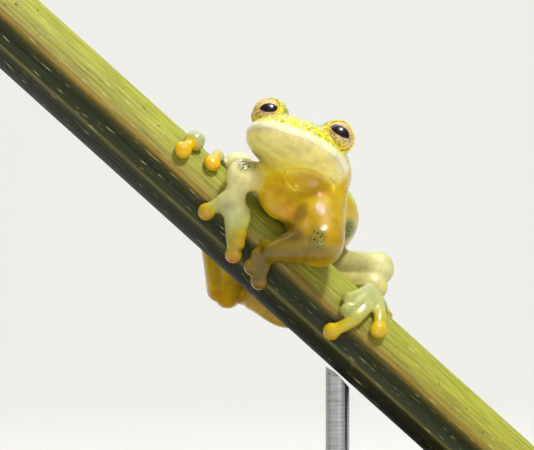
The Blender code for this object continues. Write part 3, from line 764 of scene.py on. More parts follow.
# The bright rim of the vocal sac: a bell curve across the edge of an oval seen from the front, which
# fades out at the sides and below
def sacRim(points):
    across, rise = points[:, 0] - sacFold["across"], points[:, 2] - sacFold["rise"]
    cosine, sine = math.cos(sacFold["tilt"]), math.sin(sacFold["tilt"])
    wide = across * cosine - rise * sine
    high = across * sine + rise * cosine
    oval = np.sqrt((wide / sacFold["halfWidth"]) ** 2 + (high / sacFold["halfHeight"]) ** 2)
    atFront = 1 - fade(points[:, 1], -2.2, -1.2)
    return hump(oval, 1.0, 0.08) * atFront * fade(high - 0.3 * wide, -0.9, -0.2)


def fineZones(points):  # where the skin has small forms
    back, up = headPlaces(points)[1:]
    near = (headShare(points) > 0) & (np.abs(up) < 0.6) & (back < 5.8)
    for sign in (1, -1):
        out, ring = aboutEye(points, sign)
        near |= (np.abs(out - eyes["lidForward"]) < 0.45) & (np.abs(ring - lidRing()) < 0.4)
        near |= np.linalg.norm(points - nostrilMiddle(sign), axis=1) < 0.65
    return near | (sacRim(points) > 0.05)


def buildSkin():
    mesh = oneSkin("frog_skin", skinShapes(), skin["voxel"])
    points = readArray(mesh.vertices, "co", 3).astype(float)
    edges = readArray(mesh.edges, "vertices", 2, np.int32)
    points = relaxed(points, edges, skin["evenRounds"])
    points = melted(points, edges, skin["deepRounds"], nearAny(points, deepCreases))
    back, up = headPlaces(points)[1:]
    lips = headShare(points) * hump(up, -0.15, 0.5) * (1 - fade(back, 5.0, 6.0))
    points = melted(points, edges, skin["lipRounds"], lips)
    creases = []
    for side in joints:
        creases += [(joints[side][name], inner, outer) for name, inner, outer in lightCreases]
        creases.append((roundStem((*digits["hand"]["base"][side], 0.5)), *handCrease))
    points = melted(points, edges, skin["lightRounds"], nearAny(points, creases))
    for side in (1, -1):
        points = openSocket(points, side)
    putPoints(mesh, points)
    finer(mesh, fineZones(points))
    points = readArray(mesh.vertices, "co", 3).astype(float)
    normals = readArray(mesh.vertices, "normal", 3).astype(float)
    points = clearOfStem(points + normals * skinRelief(points)[:, None], skin["stemGap"])
    putPoints(mesh, points)
    normals = readArray(mesh.vertices, "normal", 3).astype(float)
    colours, marks = paintSkin(points, normals)
    putColours(mesh, "skinColour", colours)
    putColours(mesh, "skinMarks", marks)
    putPoints(mesh, placed(points))
    mesh.materials.clear()
    mesh.materials.append(skinMaterial())
    mesh.shade_smooth()
    piece = bpy.data.objects.new("frog_skin", mesh)
    bpy.context.scene.collection.objects.link(piece)
    flesh = [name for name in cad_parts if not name.startswith(("eye", "stand", "perch"))]
    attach(piece, "root")
    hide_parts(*flesh)
    print("skin:", len(points), "points,", len(mesh.polygons), "faces")


# Along each length of limb, from its start to its end
limbTones = {
    "upperArm": {"right": ("d0c040", "dccc6c", "e6deac"), "left": ("c4a628", "b69a22", "a88e20")},
    # the left forearm is painted darker than the right one: painted shade, where it lies under the head
    # and chest
    "forearm": {"right": ("e6deac", "ccc898", "bcba8c"), "left": ("9a8020", "766220", "665820")},
    "thigh": {"right": ("a8a83c", "b5b45c", "dcdcb0"), "left": ("a0a648", "bcbc7c", "dcdab0")},
    "shank": {"right": ("d8d8b0", "b8aa4c", "c09a28"), "left": ("d6d2a0", "bcb064", "b89c30")},
    "tarsus": {"right": ("bd9428", "b09a3a", "aca860"), "left": ("bd9428", "b4a248", "b0ac70")},
}
digitTones = {
    "hand": {
        "right": ("c4c4a4", "b4b68c", "a6aa70", "a29c50", "aa8828"),
        # the left hand is painted dark: painted shade, where it lies under the chest
        "left": ("605422", "584c1c", "584c1c", "60501c", "6e581c"),
    },
    "foot": {
        "right": ("b4b88c", "b0b684", "b2b27c", "b8b070", "dab224"),
        "left": ("b8ba98", "b4b68c", "b2b27c", "b8ac58", "c4a63c"),
    },
    "webbed": {"left": ("b4b890", "aeb280", "a8ac70")},
}
headTones = {
    "crown": "d8d034",
    "crownEdge": "869420",
    "lip": "f4edc4",
    # painted shade along the groove of the mouth
    "mouthGrooveShade": "b09a48",
    "jaw": "f3e8a6",
    "throat": "e6d262",
    "lid": "f2dc20",
    "sacRim": "f0d868",
}
trunkTones = {"belly": "c8aa30", "back": "b0bc3c"}


# Patches seen from the front: across and up of the middle, half sizes, clockwise tilt, colour and
# strength. Three are painted shade: the dark spot in the armpit, the dark brown under the chest lobe
# and the darker lower part of the left arm.
frontPatchesAndShade = [
    (4.9, 4.6, 2.0, 1.1, 22.0, "c6981e", 0.75),
    (2.2, 4.0, 1.5, 1.7, 0.0, "d8b01c", 0.75),
    (2.9, 2.5, 0.9, 0.8, 20.0, "cc9414", 0.7),
    # painted shade: the dark spot in the armpit between the chest and the left arm
    (4.0, 2.3, 0.6, 1.1, 20.0, "7a5a10", 0.75),
    # painted shade: the dark brown under the chest lobe
    (2.8, 0.9, 1.7, 0.9, 20.0, "54421a", 0.85),
    (-1.45, -1.55, 0.4, 0.25, 0.0, "c8641c", 0.7),
    (5.6, 1.4, 1.7, 1.5, 0.0, "b8902a", 0.4),
    (5.0, -0.9, 2.4, 0.8, 0.0, "6e5a1c", 0.6),
    # painted shade: the darker lower part of the left arm
    (8.0, 1.0, 0.7, 1.0, 0.0, "6c7c1c", 0.8),
]

# Groups of black dots seen from the front: across and up of the middle, and half sizes
dotPatches = [(-0.2, 6.1, 0.9, 0.6), (5.3, 0.3, 0.8, 0.95), (7.9, 0.96, 0.5, 0.7)]

# overStem is painted shade and see-through green where the skin lies on the stem
edgeTones = {"knee": "b4bc30", "toeJoint": "b4b992", "overStem": "6c7424"}
paint = {
    "softness": 0.2,  # how widely in millimetres the tones of two parts run into each other
    "trunkReach": 0.4,  # nothing counts as farther from the trunk than this
    "upperSide": (0.35, 0.55, 0.75),  # where the back's green faces
    "saturation": 1.3,
}


def nearLine(points, line, girths):  # the distance to a rounded line's surface, and the place on it
    away = np.linalg.norm(points[:, None, :] - line[None], axis=2) - girths[None]
    return away.min(axis=1), away.argmin(axis=1) / (len(line) - 1)


def blend(tones, share):  # a smooth run through a few colours
    tones = np.array([hexColour(code) for code in tones])
    places = np.linspace(0.0, 1.0, len(tones))
    return np.stack([np.interp(share, places, tones[:, channel]) for channel in range(3)], axis=1)


# How far out points lie in an oval seen from the front, 1 on its edge: the hypotenuse of their
# places along its two turned axes, each in half sizes
def ovalReach(points, across, rise, wide, high, tilt=0.0):
    turn = math.radians(tilt)
    dx, dz = points[:, 0] - across, points[:, 2] - rise
    longWay = dx * math.cos(turn) - dz * math.sin(turn)
    shortWay = dx * math.sin(turn) + dz * math.cos(turn)
    return np.hypot(longWay / wide, shortWay / high)


def toneLines():  # the limbs' and digits' middle lines with their girths, and the tones along them
    lines, tones = [], []
    for side in ("right", "left"):
        for kind in limbs:
            rows = smoothRows(limbRows(kind, side), 12)
            lines.append((rows[:, :3], rows[:, 3]))
            tones.append(limbTones[kind][side])
        for kind in digits:
            for number in range(len(digits[kind]["lines"][side])):
                rows = roundStem(smoothRows(digitRows(kind, side, number), 16))
                lines.append((rows, np.linspace(0.4, 0.6, 16)))
                tones.append(digitTones["webbed" if seeThrough(kind, side, number) else kind][side])
    return lines, tones


# The tones of the trunk, limbs and digits, each with the weight exp(-(distance - least) / softness),
# and the distance to the nearest limb or digit
def bodyColour(points, backward):
    rows = [(*middle, wide, thick) for middle, wide, thick, roll in trunk["stations"]]
    stations = smoothRows(rows, 14)
    away = nearLine(points, stations[:, :3], (stations[:, 3] + stations[:, 4]) / 2)[0]
    belly, back = hexColour(trunkTones["belly"]), hexColour(trunkTones["back"])
    trunkColour = belly * (1 - backward) + back * backward
    toTrunk = np.minimum(away, paint["trunkReach"])
    lines, tones = toneLines()
    parts = [nearLine(points, line, girths) for line, girths in lines]
    toLimb = np.min([part[0] for part in parts], axis=0)
    least = np.minimum(toTrunk, toLimb)
    total = np.exp(-(toTrunk - least) / paint["softness"])[:, None]
    colour = trunkColour * total
    for (distance, share), tone in zip(parts, tones):
        weight = np.exp(-(distance - least) / paint["softness"])[:, None]
        colour = colour + blend(tone, share) * weight
        total = total + weight
    return colour / total, toLimb


# The skin's colour at each point, and three masks for its material: white grains, whose pure white is
# in part a painted glint, black dots and green clouds
def paintSkin(points, normals):
    backward = fade(normals @ unit(np.array(paint["upperSide"])), -0.1, 0.6)[:, None]
    colour, toLimb = bodyColour(points, backward)

    def lay(code, share):
        return colour + (hexColour(code) - colour) * np.clip(share, 0.0, 1.0)[:, None]

    side, back, up = headPlaces(points)
    onHead = headShare(points) * fade(toLimb, -0.1, 0.3)
    colour = lay(headTones["crown"], onHead * fade(up, 0.5, 1.0))
    edge = fade(up, 1.5, 2.3) * fade(back, 1.2, 2.6) * (1 - hump(np.abs(side), 3.0, 1.1))
    colour = lay(headTones["crownEdge"], 0.75 * onHead * edge)
    colour = lay(headTones["jaw"], onHead * (1 - fade(up, -0.3, 0.2)))
    colour = lay(headTones["lip"], onHead * fade(up, -0.35, 0.15) * (1 - fade(up, 0.5, 1.1)))
    colour = lay(headTones["throat"], 0.9 * onHead * (1 - fade(up, -2.0, -0.7)))
    # a faint painted shade along the groove of the mouth
    mouth = 0.25 * onHead * hump(up, -0.02, 0.06) * (1 - fade(back, 4.8, 5.4))
    colour = lay(headTones["mouthGrooveShade"], mouth)
    front = fade(-normals[:, 1], 0.0, 0.4)
    # the patches seen from the front, three of which are painted shade round the left arm and under the
    # chest lobe
    for across, rise, wide, high, tilt, code, strength in frontPatchesAndShade:
        reach = ovalReach(points, across, rise, wide, high, tilt)
        colour = lay(code, strength * front * (1 - fade(reach, 0.5, 1.2)))
    colour = lay(headTones["sacRim"], 0.65 * sacRim(points))
    # the knee has a green edge where it turns away from the camera
    turnedAway = 1 - fade(-normals[:, 1], 0.2, 0.7)
    kneeEdge = fade(points[:, 0], 9.0, 10.6) * turnedAway * fade(points[:, 2], -5.2, -4.2)
    colour = lay(edgeTones["knee"], 0.7 * kneeEdge)
    # the bent toe joint is paler and greener than the pad before it
    toeJoint = roundStem(bentToe["place"])
    fromJoint = points - toeJoint
    pad = roundStem((*digits["foot"]["lines"]["right"][0][-1], bentToe["place"][2]))
    towardsPad = fade(fromJoint @ unit(pad - toeJoint), 0.3, 0.6)
    onJoint = (1 - fade(np.linalg.norm(fromJoint, axis=1), 1.0, 1.25)) * (1 - towardsPad)
    colour = lay(edgeTones["toeJoint"], onJoint)
    # where the skin lies on the stem it is painted a darker green, darkest nearest the stem: painted
    # shade, with the stem's green painted as if seen through the thin skin
    across = points - (points @ stemAlong)[:, None] * stemAlong
    angles = np.degrees(np.arctan2(across @ forward, across @ stemUp))
    height = np.linalg.norm(across, axis=1) - stemProfile(angles)
    colour = lay(edgeTones["overStem"], 0.6 * (1 - fade(height, 0.1, 0.6)) * (1 - onHead))
    for sign in (1, -1):
        out, ring = aboutEye(points, sign)
        lid = hump(out, eyes["lidForward"], 0.2) * hump(ring, lidRing() + 0.12, 0.22)
        colour = lay(headTones["lid"], lid)
    marks = np.zeros((len(points), 3))
    # the crown, where the white grains lie, their pure white in part a painted glint
    marks[:, 0] = onHead * fade(up, 0.6, 0.95) * (1 - fade(up, 2.6, 3.4))
    for across, rise, wide, high in dotPatches:
        reach = ovalReach(points, across, rise, wide, high)
        marks[:, 1] = np.maximum(marks[:, 1], front * (1 - fade(reach, 0.6, 1.2)))
    onBack = backward[:, 0] * (1 - onHead) * fade(toLimb, -0.1, 0.4)
    marks[:, 2] = np.maximum(onHead * fade(up, 0.6, 1.0), 0.6 * onBack)
    grey = colour.mean(axis=1, keepdims=True)
    return np.clip(grey + (colour - grey) * paint["saturation"], 0.0, 1.0), marks


# Features to the millimetre, and their tones
skinPatterns = {
    "patches": 0.9,  # lighter and darker patches of about 1 mm
    "clouds": 2.4,  # green clouds of 0.4 mm on the crown and the back
    "cloudTone": "8a9a22",
    "cells": 7.0,  # pigment cells of 0.14 mm, seen as a fine darker net
    "netTone": "6a5a10",
    # the grains are raised in the bump, and their pure white is in part a painted glint on them
    "grains": 3.8,  # white grains of 0.15 mm on the crown, at most one to each 0.26 mm
    "grainTone": "ffffff",
    "dots": 4.4,  # black dots of 0.15 mm on the arms and the flank, one to each 0.23 mm
    "dotGround": "4a6430",
    "dotTone": "0c0f08",
    "ripples": 3.2,  # a real skin's grain is finer: these are drawn 0.3 mm wide to show
    "bump": 0.00006,
}


# The real one is a thin, see-through skin that is always wet: light goes in, comes out yellow a
# millimetre away, and its film of water gives small sharp glints on fine grains
def skinMaterial():
    material, tree, shader = newMaterial(
        "moist thin frog skin",
        Roughness=0.42,
        IOR=1.38,
        Specular_IOR_Level=0.2,
        Coat_Weight=1.0,
        Coat_Roughness=0.05,
        Coat_IOR=1.45,
        Subsurface_Weight=0.35,
        Subsurface_Radius=(1.0, 0.78, 0.26),
        Subsurface_Scale=0.0007,
    )
    size = skinPatterns
    colour = addNode(tree, "Attribute", attribute_name="skinColour").outputs["Color"]
    marks = addNode(tree, "Attribute", attribute_name="skinMarks").outputs["Color"]
    masks = addNode(tree, "SeparateColor", {0: marks})
    onCrown, onDots, onClouds = (masks.outputs[number] for number in range(3))
    place = addNode(tree, "TexCoord").outputs["Object"]
    spot = addNode(tree, "VectorMath", {0: place, 3: 1000.0}, operation="SCALE").outputs[0]
    patches = addNode(tree, "TexNoise", {
        "Vector": spot,
        "Scale": size["patches"],
        "Detail": 4.0,
    }).outputs["Fac"]
    softly = addNode(tree, "MapRange", {"Value": patches, 1: 0.3, 2: 0.7, 3: 0.8, 4: 1.12}).outputs[0]
    colour = addNode(tree, "Mix", {0: 1.0, 6: colour, 7: softly}, **tint).outputs[2]
    # the clouds
    clouds = addNode(tree, "TexNoise", {
        "Vector": spot,
        "Scale": size["clouds"],
        "Detail": 3.0,
        "Roughness": 0.65,
    }).outputs["Fac"]
    cloud = addNode(tree, "MapRange", {"Value": clouds, 1: 0.46, 2: 0.62, 3: 0.0, 4: 0.85}).outputs[0]
    green = addNode(tree, "Math", {0: cloud, 1: onClouds}, operation="MULTIPLY").outputs[0]
    colour = addNode(tree, "Mix", {0: green, 6: colour, 7: size["cloudTone"]}, **layOver).outputs[2]
    # the net of pigment cells
    toEdge = addNode(tree, "TexVoronoi", {
        "Vector": spot,
        "Scale": size["cells"],
    }, feature="DISTANCE_TO_EDGE").outputs["Distance"]
    net = addNode(tree, "MapRange", {"Value": toEdge, 1: 0.0, 2: 0.12, 3: 0.16, 4: 0.0}).outputs[0]
    colour = addNode(tree, "Mix", {0: net, 6: colour, 7: size["netTone"]}, **layOver).outputs[2]
    # the white grains, in the cells whose own random value is high enough: raised grains, whose pure
    # white is in part a painted glint
    grains = addNode(tree, "TexVoronoi", {"Vector": spot, "Scale": size["grains"], "Randomness": 1.0})
    toMiddle = grains.outputs["Distance"]
    grain = addNode(tree, "MapRange", {"Value": toMiddle, 1: 0.36, 2: 0.26, 3: 0.0, 4: 1.0}).outputs[0]
    chance = addNode(tree, "SeparateColor", {0: grains.outputs["Color"]}).outputs[0]
    taken = addNode(tree, "Math", {0: chance, 1: 0.42}, operation="GREATER_THAN").outputs[0]
    chosen = addNode(tree, "Math", {0: grain, 1: taken}, operation="MULTIPLY").outputs[0]
    grainsAndGlint = addNode(tree, "Math", {0: chosen, 1: onCrown}, operation="MULTIPLY").outputs[0]
    colour = addNode(tree, "Mix", {0: grainsAndGlint, 6: colour, 7: size["grainTone"]}, **layOver).outputs[2]
    # the black dots, over a green ground
    dots = addNode(tree, "TexVoronoi", {"Vector": spot, "Scale": size["dots"], "Randomness": 0.9})
    toMiddle = dots.outputs["Distance"]
    dot = addNode(tree, "MapRange", {"Value": toMiddle, 1: 0.4, 2: 0.3, 3: 0.0, 4: 1.0}).outputs[0]
    ground = addNode(tree, "Math", {0: onDots, 1: 0.5}, operation="MULTIPLY").outputs[0]
    colour = addNode(tree, "Mix", {0: ground, 6: colour, 7: size["dotGround"]}, **layOver).outputs[2]
    black = addNode(tree, "Math", {0: dot, 1: onDots}, operation="MULTIPLY").outputs[0]
    colour = addNode(tree, "Mix", {0: black, 6: colour, 7: size["dotTone"]}, **layOver).outputs[2]
    tree.links.new(colour, shader.inputs["Base Color"])
    # the ripples, with the grains raised on them
    ripples = addNode(tree, "TexNoise", {
        "Vector": spot,
        "Scale": size["ripples"],
        "Detail": 4.0,
        "Roughness": 0.6,
    }).outputs["Fac"]
    raised = addNode(tree, "Math", {0: grainsAndGlint, 1: 0.3}, operation="MULTIPLY").outputs[0]
    height = addNode(tree, "Math", {0: ripples, 1: raised}, operation="ADD").outputs[0]
    bump = addNode(tree, "Bump", {"Height": height, "Strength": 0.7, "Distance": size["bump"]})
    tree.links.new(bump.outputs[0], shader.inputs["Normal"])
    tree.links.new(bump.outputs[0], shader.inputs["Coat Normal"])
    return material


# Each point of a ball gets its place in the pupil's own frame, which is the long way, the short way
# and the middle, the first two in the pupil's half sizes, and its angle from the gaze
def buildEyes():
    material = eyeMaterial()
    for name, side in (("eye_left", 1), ("eye_right", -1)):
        points, faces = ballSurface(eyeMiddle(side), eyeFrame(side), [eyes["radius"]] * 3, 96, 64)
        piece = newPiece("ball_" + name, placed(points), faces)
        aside, rise, tilt, wide, high = eyes["pupils"][side]
        middle = np.array([aside, -math.sqrt(1 - aside**2 - rise**2), rise])
        turn = math.radians(tilt)
        longWay = np.array([math.cos(turn), 0.0, math.sin(turn)])
        longWay = unit(longWay - middle * (longWay @ middle))
        shortWay = np.cross(longWay, middle)
        outward = unit(points - eyeMiddle(side))
        alongPupil, acrossPupil = outward @ longWay / wide, outward @ shortWay / high
        place = np.stack([alongPupil, acrossPupil, outward @ middle], axis=1)
        putVectors(piece.data, "eyePlace", place)
        across, up, gaze = eyeFrame(side)
        ring = np.arccos(np.clip(outward @ gaze, -1.0, 1.0)) / (math.pi / 2)
        place = np.stack([ring, outward @ across * side, outward @ up], axis=1)
        putVectors(piece.data, "eyeRing", place)
        piece.data.materials.append(material)
        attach(piece, "root")
        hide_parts(name)
    print("eyes")


# The iris from the pupil's middle out: 1 / reach is the pupil's edge
irisTones = [
    (0.0, "050303"),
    (0.078, "0a0504"),
    (0.088, "7a2a14"),
    (0.1, "d8b890"),
    (0.18, "e4cc6c"),
    (0.32, "eccc3a"),
    (0.55, "e8bc24"),
    (1.0, "d09a1c"),
]
eyePatterns = {
    "reach": 12.0,
    "grains": 8.5,  # to the millimetre: brown grains of 0.1 mm, many near the pupil and few outside
    "grainTone": "4e3028",
    "veins": 6.0,  # a faint wandering net of veins, 0.17 mm apart
    "veinTone": "8a6420",
    "rimTone": "f6d41c",
}


# The real one is a wet clear cornea over a pale gold iris, peppered with fine brown grains that
# crowd round a dark level pupil, inside the bright yellow rim of the lids
def eyeMaterial():
    material, tree, shader = newMaterial(
        "wet cornea over golden iris",
        Roughness=0.3,
        IOR=1.38,
        Coat_Weight=1.0,
        Coat_Roughness=0.01,
        Coat_IOR=1.38,
    )
    size = eyePatterns
    eyePlace = addNode(tree, "Attribute", attribute_name="eyePlace").outputs["Vector"]
    axes = addNode(tree, "SeparateXYZ", {0: eyePlace})
    # the pupil is a flat oval with pointed ends: |x|^2.2 + |y|^1.5 = 1 on its edge
    aside = addNode(tree, "Math", {0: axes.outputs[0]}, operation="ABSOLUTE").outputs[0]
    above = addNode(tree, "Math", {0: axes.outputs[1]}, operation="ABSOLUTE").outputs[0]
    across = addNode(tree, "Math", {0: aside, 1: 2.2}, operation="POWER").outputs[0]
    rise = addNode(tree, "Math", {0: above, 1: 1.5}, operation="POWER").outputs[0]
    pupil = addNode(tree, "Math", {0: across, 1: rise}, operation="ADD").outputs[0]
    outward = addNode(tree, "Math", {0: pupil, 1: size["reach"]}, operation="DIVIDE").outputs[0]
    colour = addNode(tree, "ValToRGB", {0: outward}, stops=irisTones).outputs["Color"]
    place = addNode(tree, "TexCoord").outputs["Object"]
    spot = addNode(tree, "VectorMath", {0: place, 3: 1000.0}, operation="SCALE").outputs[0]
    outside = addNode(tree, "Math", {0: pupil, 1: 1.12}, operation="GREATER_THAN").outputs[0]
    # the grains
    grains = addNode(tree, "TexVoronoi", {"Vector": spot, "Scale": size["grains"]})
    toMiddle = grains.outputs["Distance"]
    grain = addNode(tree, "MapRange", {"Value": toMiddle, 1: 0.52, 2: 0.32, 3: 0.0, 4: 1.0}).outputs[0]
    chance = addNode(tree, "SeparateColor", {0: grains.outputs["Color"]}).outputs[0]
    crowd = addNode(tree, "MapRange", {"Value": pupil, 1: 1.0, 2: 8.0, 3: 0.85, 4: 0.25}).outputs[0]
    taken = addNode(tree, "Math", {0: chance, 1: crowd}, operation="LESS_THAN").outputs[0]
    chosen = addNode(tree, "Math", {0: grain, 1: taken}, operation="MULTIPLY").outputs[0]
    share = addNode(tree, "Math", {0: chosen, 1: outside}, operation="MULTIPLY").outputs[0]
    share = addNode(tree, "Math", {0: share, 1: 0.9}, operation="MULTIPLY").outputs[0]
    colour = addNode(tree, "Mix", {0: share, 6: colour, 7: size["grainTone"]}, **layOver).outputs[2]
    # the veins
    wander = addNode(tree, "TexNoise", {"Vector": spot, "Scale": 6.0, "Detail": 3.0}).outputs["Color"]
    bent = addNode(tree, "Mix", {0: 0.12, 6: spot, 7: wander}, **addUp).outputs[2]
    toEdge = addNode(tree, "TexVoronoi", {
        "Vector": bent,
        "Scale": size["veins"],
    }, feature="DISTANCE_TO_EDGE").outputs["Distance"]
    vein = addNode(tree, "MapRange", {"Value": toEdge, 1: 0.14, 2: 0.0, 3: 0.0, 4: 0.45}).outputs[0]
    share = addNode(tree, "Math", {0: vein, 1: outside}, operation="MULTIPLY").outputs[0]
    colour = addNode(tree, "Mix", {0: share, 6: colour, 7: size["veinTone"]}, **layOver).outputs[2]
    # the rim, which is wider below
    eyeRing = addNode(tree, "Attribute", attribute_name="eyeRing").outputs["Vector"]
    ring = addNode(tree, "SeparateXYZ", {0: eyeRing})
    lower = addNode(tree, "Math", {0: ring.outputs[2], 1: -0.09}, operation="MULTIPLY").outputs[0]
    angle = addNode(tree, "Math", {0: ring.outputs[0], 1: lower}, operation="ADD").outputs[0]
    rim = addNode(tree, "MapRange", {"Value": angle, 1: 0.67, 2: 0.73, 3: 0.0, 4: 1.0}).outputs[0]
    colour = addNode(tree, "Mix", {0: rim, 6: colour, 7: size["rimTone"]}, **layOver).outputs[2]
    tree.links.new(colour, shader.inputs["Base Color"])
    return material


def buildStem():  # radius by angle with fine lengthwise fibres: a sum of waves round the stem
    angles = np.linspace(0.0, 360.0, stem["sides"], endpoint=False)
    along = np.linspace(-0.5, 0.5, stem["rows"]) * stem["length"]
    waves = np.sin(np.radians(angles) * 47) + 0.7 * np.sin(np.radians(angles) * 83 + 1.0)
    profile = stemProfile(angles) + stem["fibre"] * (waves - 2.2)
    lift = profile - stem["radius"]
    places = np.stack(np.broadcast_arrays(along[:, None], angles[None, :], lift), axis=-1)
    rings = roundStem(places)
    inner = roundStem(places[[0, -1]] * (1, 1, 0) - (0, 0, stem["endInset"]))
    middles = [(stemAlong * value).reshape(1, 1, 3) for value in (along[0], along[-1])]
    first, last = (middle.repeat(stem["sides"], axis=1) for middle in middles)
    points, faces = closedGrid(np.concatenate([first, inner[:1], rings, inner[1:], last]))
    piece = newPiece("cut_stem", placed(points), faces)
    place = np.stack([points @ stemAlong, points @ stemUp, points @ forward], axis=1)
    putVectors(piece.data, "stemPlace", place)
    piece.data.set_sharp_from_angle(angle=math.radians(50))
    piece.data.materials.append(stemMaterial())
    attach(piece, "root")
    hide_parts("perch_stem")
    print("stem")


# The stem's tones by degrees round it, 0 on its upper edge and 90 at the front: painted light and
# shade, a bright lit top and a dark front, underside and back in painted shade
stemLitAndShadedTones = [
    (-180, "20260c"),
    (-130, "2c3410"),
    (-100, "57601c"),
    (-96, "7d7426"),
    (-80, "6f7a24"),
    (-60, "93982e"),
    (0, "a2a638"),
    (62, "9b9a34"),
    (76, "8e8330"),
    (85, "8a7228"),
    (92, "40400f"),
    (104, "1f2609"),
    (117, "2c3410"),
    (121, "6f6a38"),
    (126, "2c3010"),
    (150, "151a08"),
    (180, "181d09"),
]
stemPatterns = {
    "fibres": (0.28, 4.5, 4.5),  # to the millimetre along and across: 3.6 mm by 0.22 mm
    "flecks": (0.7, 7.0, 7.0),  # pale scars of 1.4 mm by 0.14 mm
    "fleckTone": "d6cd8c",
    "pits": 2.2,  # brown pits, 0.45 mm apart where they come
    "pitTone": "3a2a10",
    "pith": 3.0,  # bundles of 0.33 mm in the cut ends
    "pithTones": [(0.0, "8f8040"), (0.25, "d8cfa0"), (1.0, "c6bd88")],
    "bark": (2.9, 2.7),  # the radii between which a cut end turns from bark to pith
}


# The real one is the ribbed stalk of a living plant, cut with a knife: its tones round it are painted
# light and shade, a bright lit yellow-green top, a brown edge and a dark front in painted shade, with
# fine pale fibres along it and a pale pith in its cut ends
def stemMaterial():
    material, tree, shader = newMaterial(
        "fresh ribbed plant stalk", Roughness=0.5, IOR=1.45, Specular_IOR_Level=0.3,
    )
    size = stemPatterns
    place = addNode(tree, "Attribute", attribute_name="stemPlace").outputs["Vector"]
    axes = addNode(tree, "SeparateXYZ", {0: place})
    rise, towards = axes.outputs[1], axes.outputs[2]
    angle = addNode(tree, "Math", {0: towards, 1: rise}, operation="ARCTAN2").outputs[0]
    turn = addNode(tree, "MapRange", {"Value": angle, 1: -math.pi, 2: math.pi}).outputs[0]
    # the tones round the stem: painted light on its top and painted shade on its front and underside
    stops = [((degrees + 180) / 360, code) for degrees, code in stemLitAndShadedTones]
    base = addNode(tree, "ValToRGB", {0: turn}, stops=stops).outputs["Color"]
    drawn = addNode(tree, "Mapping", {0: place, 3: size["fibres"]}).outputs[0]
    fibre = addNode(tree, "TexNoise", {
        "Vector": drawn,
        "Scale": 1.0,
        "Detail": 5.0,
        "Roughness": 0.6,
    }).outputs["Fac"]
    tone = addNode(tree, "MapRange", {"Value": fibre, 1: 0.3, 2: 0.7, 3: 0.62, 4: 1.25}).outputs[0]
    colour = addNode(tree, "Mix", {0: 1.0, 6: base, 7: tone}, **tint).outputs[2]
    moved = addNode(tree, "Mapping", {0: place, 1: (3.0, 1.0, 7.0), 3: size["flecks"]}).outputs[0]
    flecks = addNode(tree, "TexNoise", {"Vector": moved, "Scale": 1.0, "Detail": 2.0}).outputs["Fac"]
    fleck = addNode(tree, "MapRange", {"Value": flecks, 1: 0.66, 2: 0.74, 3: 0.0, 4: 0.6}).outputs[0]
    colour = addNode(tree, "Mix", {0: fleck, 6: colour, 7: size["fleckTone"]}, **layOver).outputs[2]
    pits = addNode(tree, "TexNoise", {
        "Vector": place,
        "Scale": size["pits"],
        "Detail": 2.0,
    }).outputs["Fac"]
    pit = addNode(tree, "MapRange", {"Value": pits, 1: 0.68, 2: 0.76, 3: 0.0, 4: 0.7}).outputs[0]
    colour = addNode(tree, "Mix", {0: pit, 6: colour, 7: size["pitTone"]}, **layOver).outputs[2]
    # inside the bark a cut end shows the pith
    flat = addNode(tree, "CombineXYZ", {1: rise, 2: towards}).outputs[0]
    fromAxis = addNode(tree, "VectorMath", {0: flat}, operation="LENGTH").outputs["Value"]
    outer, inner = size["bark"]
    cut = addNode(tree, "MapRange", {"Value": fromAxis, 1: outer, 2: inner, 3: 0.0, 4: 1.0}).outputs[0]
    bundles = addNode(tree, "TexVoronoi", {"Vector": place, "Scale": size["pith"]}).outputs["Distance"]
    pith = addNode(tree, "ValToRGB", {0: bundles}, stops=size["pithTones"]).outputs["Color"]
    colour = addNode(tree, "Mix", {0: cut, 6: colour, 7: pith}, **layOver).outputs[2]
    tree.links.new(colour, shader.inputs["Base Color"])
    bump = addNode(tree, "Bump", {"Height": fibre, "Strength": 0.6, "Distance": 0.0001})
    tree.links.new(bump.outputs[0], shader.inputs["Normal"])
    return material


stand = {
    "grain": (0.045, 0.5, 0.5),  # to the millimetre: streaks of 22 mm by 2 mm
    "pores": (0.35, 3.2, 3.2),  # pores of 3 mm by 0.3 mm, drawn coarser than real ones to show
    "woodTones": [(0.3, "2a1710"), (0.48, "43271a"), (0.6, "573422"), (0.75, "331d13")],
    "poreTone": "150b07",
    "rings": (0.4, 0.4, 6.0),  # brush marks 0.17 mm apart, coarser than real ones to show
    "steelTones": [(0.3, "9c9d9f"), (0.7, "c6c7c8")],
}


# The stand's base is a piece of dark stained hardwood with a thin coat of wax: long streaks of
# grain along it, short dark pores and a soft sheen
def waxedWood():
    material, tree, shader = newMaterial(
        "dark stained waxed hardwood", Roughness=0.42, Coat_Weight=0.3, Coat_Roughness=0.3,
    )
    place = addNode(tree, "TexCoord").outputs["Object"]
    spot = addNode(tree, "VectorMath", {0: place, 3: 1000.0}, operation="SCALE").outputs[0]
    drawn = addNode(tree, "Mapping", {0: spot, 3: stand["grain"]}).outputs[0]
    streak = addNode(tree, "TexNoise", {
        "Vector": drawn,
        "Scale": 1.0,
        "Detail": 6.0,
        "Distortion": 0.8,
    }).outputs["Fac"]
    wood = addNode(tree, "ValToRGB", {0: streak}, stops=stand["woodTones"]).outputs["Color"]
    thin = addNode(tree, "Mapping", {0: spot, 3: stand["pores"]}).outputs[0]
    pores = addNode(tree, "TexNoise", {"Vector": thin, "Scale": 1.0, "Detail": 2.0}).outputs["Fac"]
    pore = addNode(tree, "MapRange", {"Value": pores, 1: 0.6, 2: 0.7, 3: 0.0, 4: 0.7}).outputs[0]
    colour = addNode(tree, "Mix", {0: pore, 6: wood, 7: stand["poreTone"]}, **layOver).outputs[2]
    tree.links.new(colour, shader.inputs["Base Color"])
    height = addNode(tree, "Math", {0: pore, 1: -1.0}, operation="MULTIPLY").outputs[0]
    bump = addNode(tree, "Bump", {"Height": height, "Strength": 0.4, "Distance": 0.00005})
    tree.links.new(bump.outputs[0], shader.inputs["Normal"])
    return material


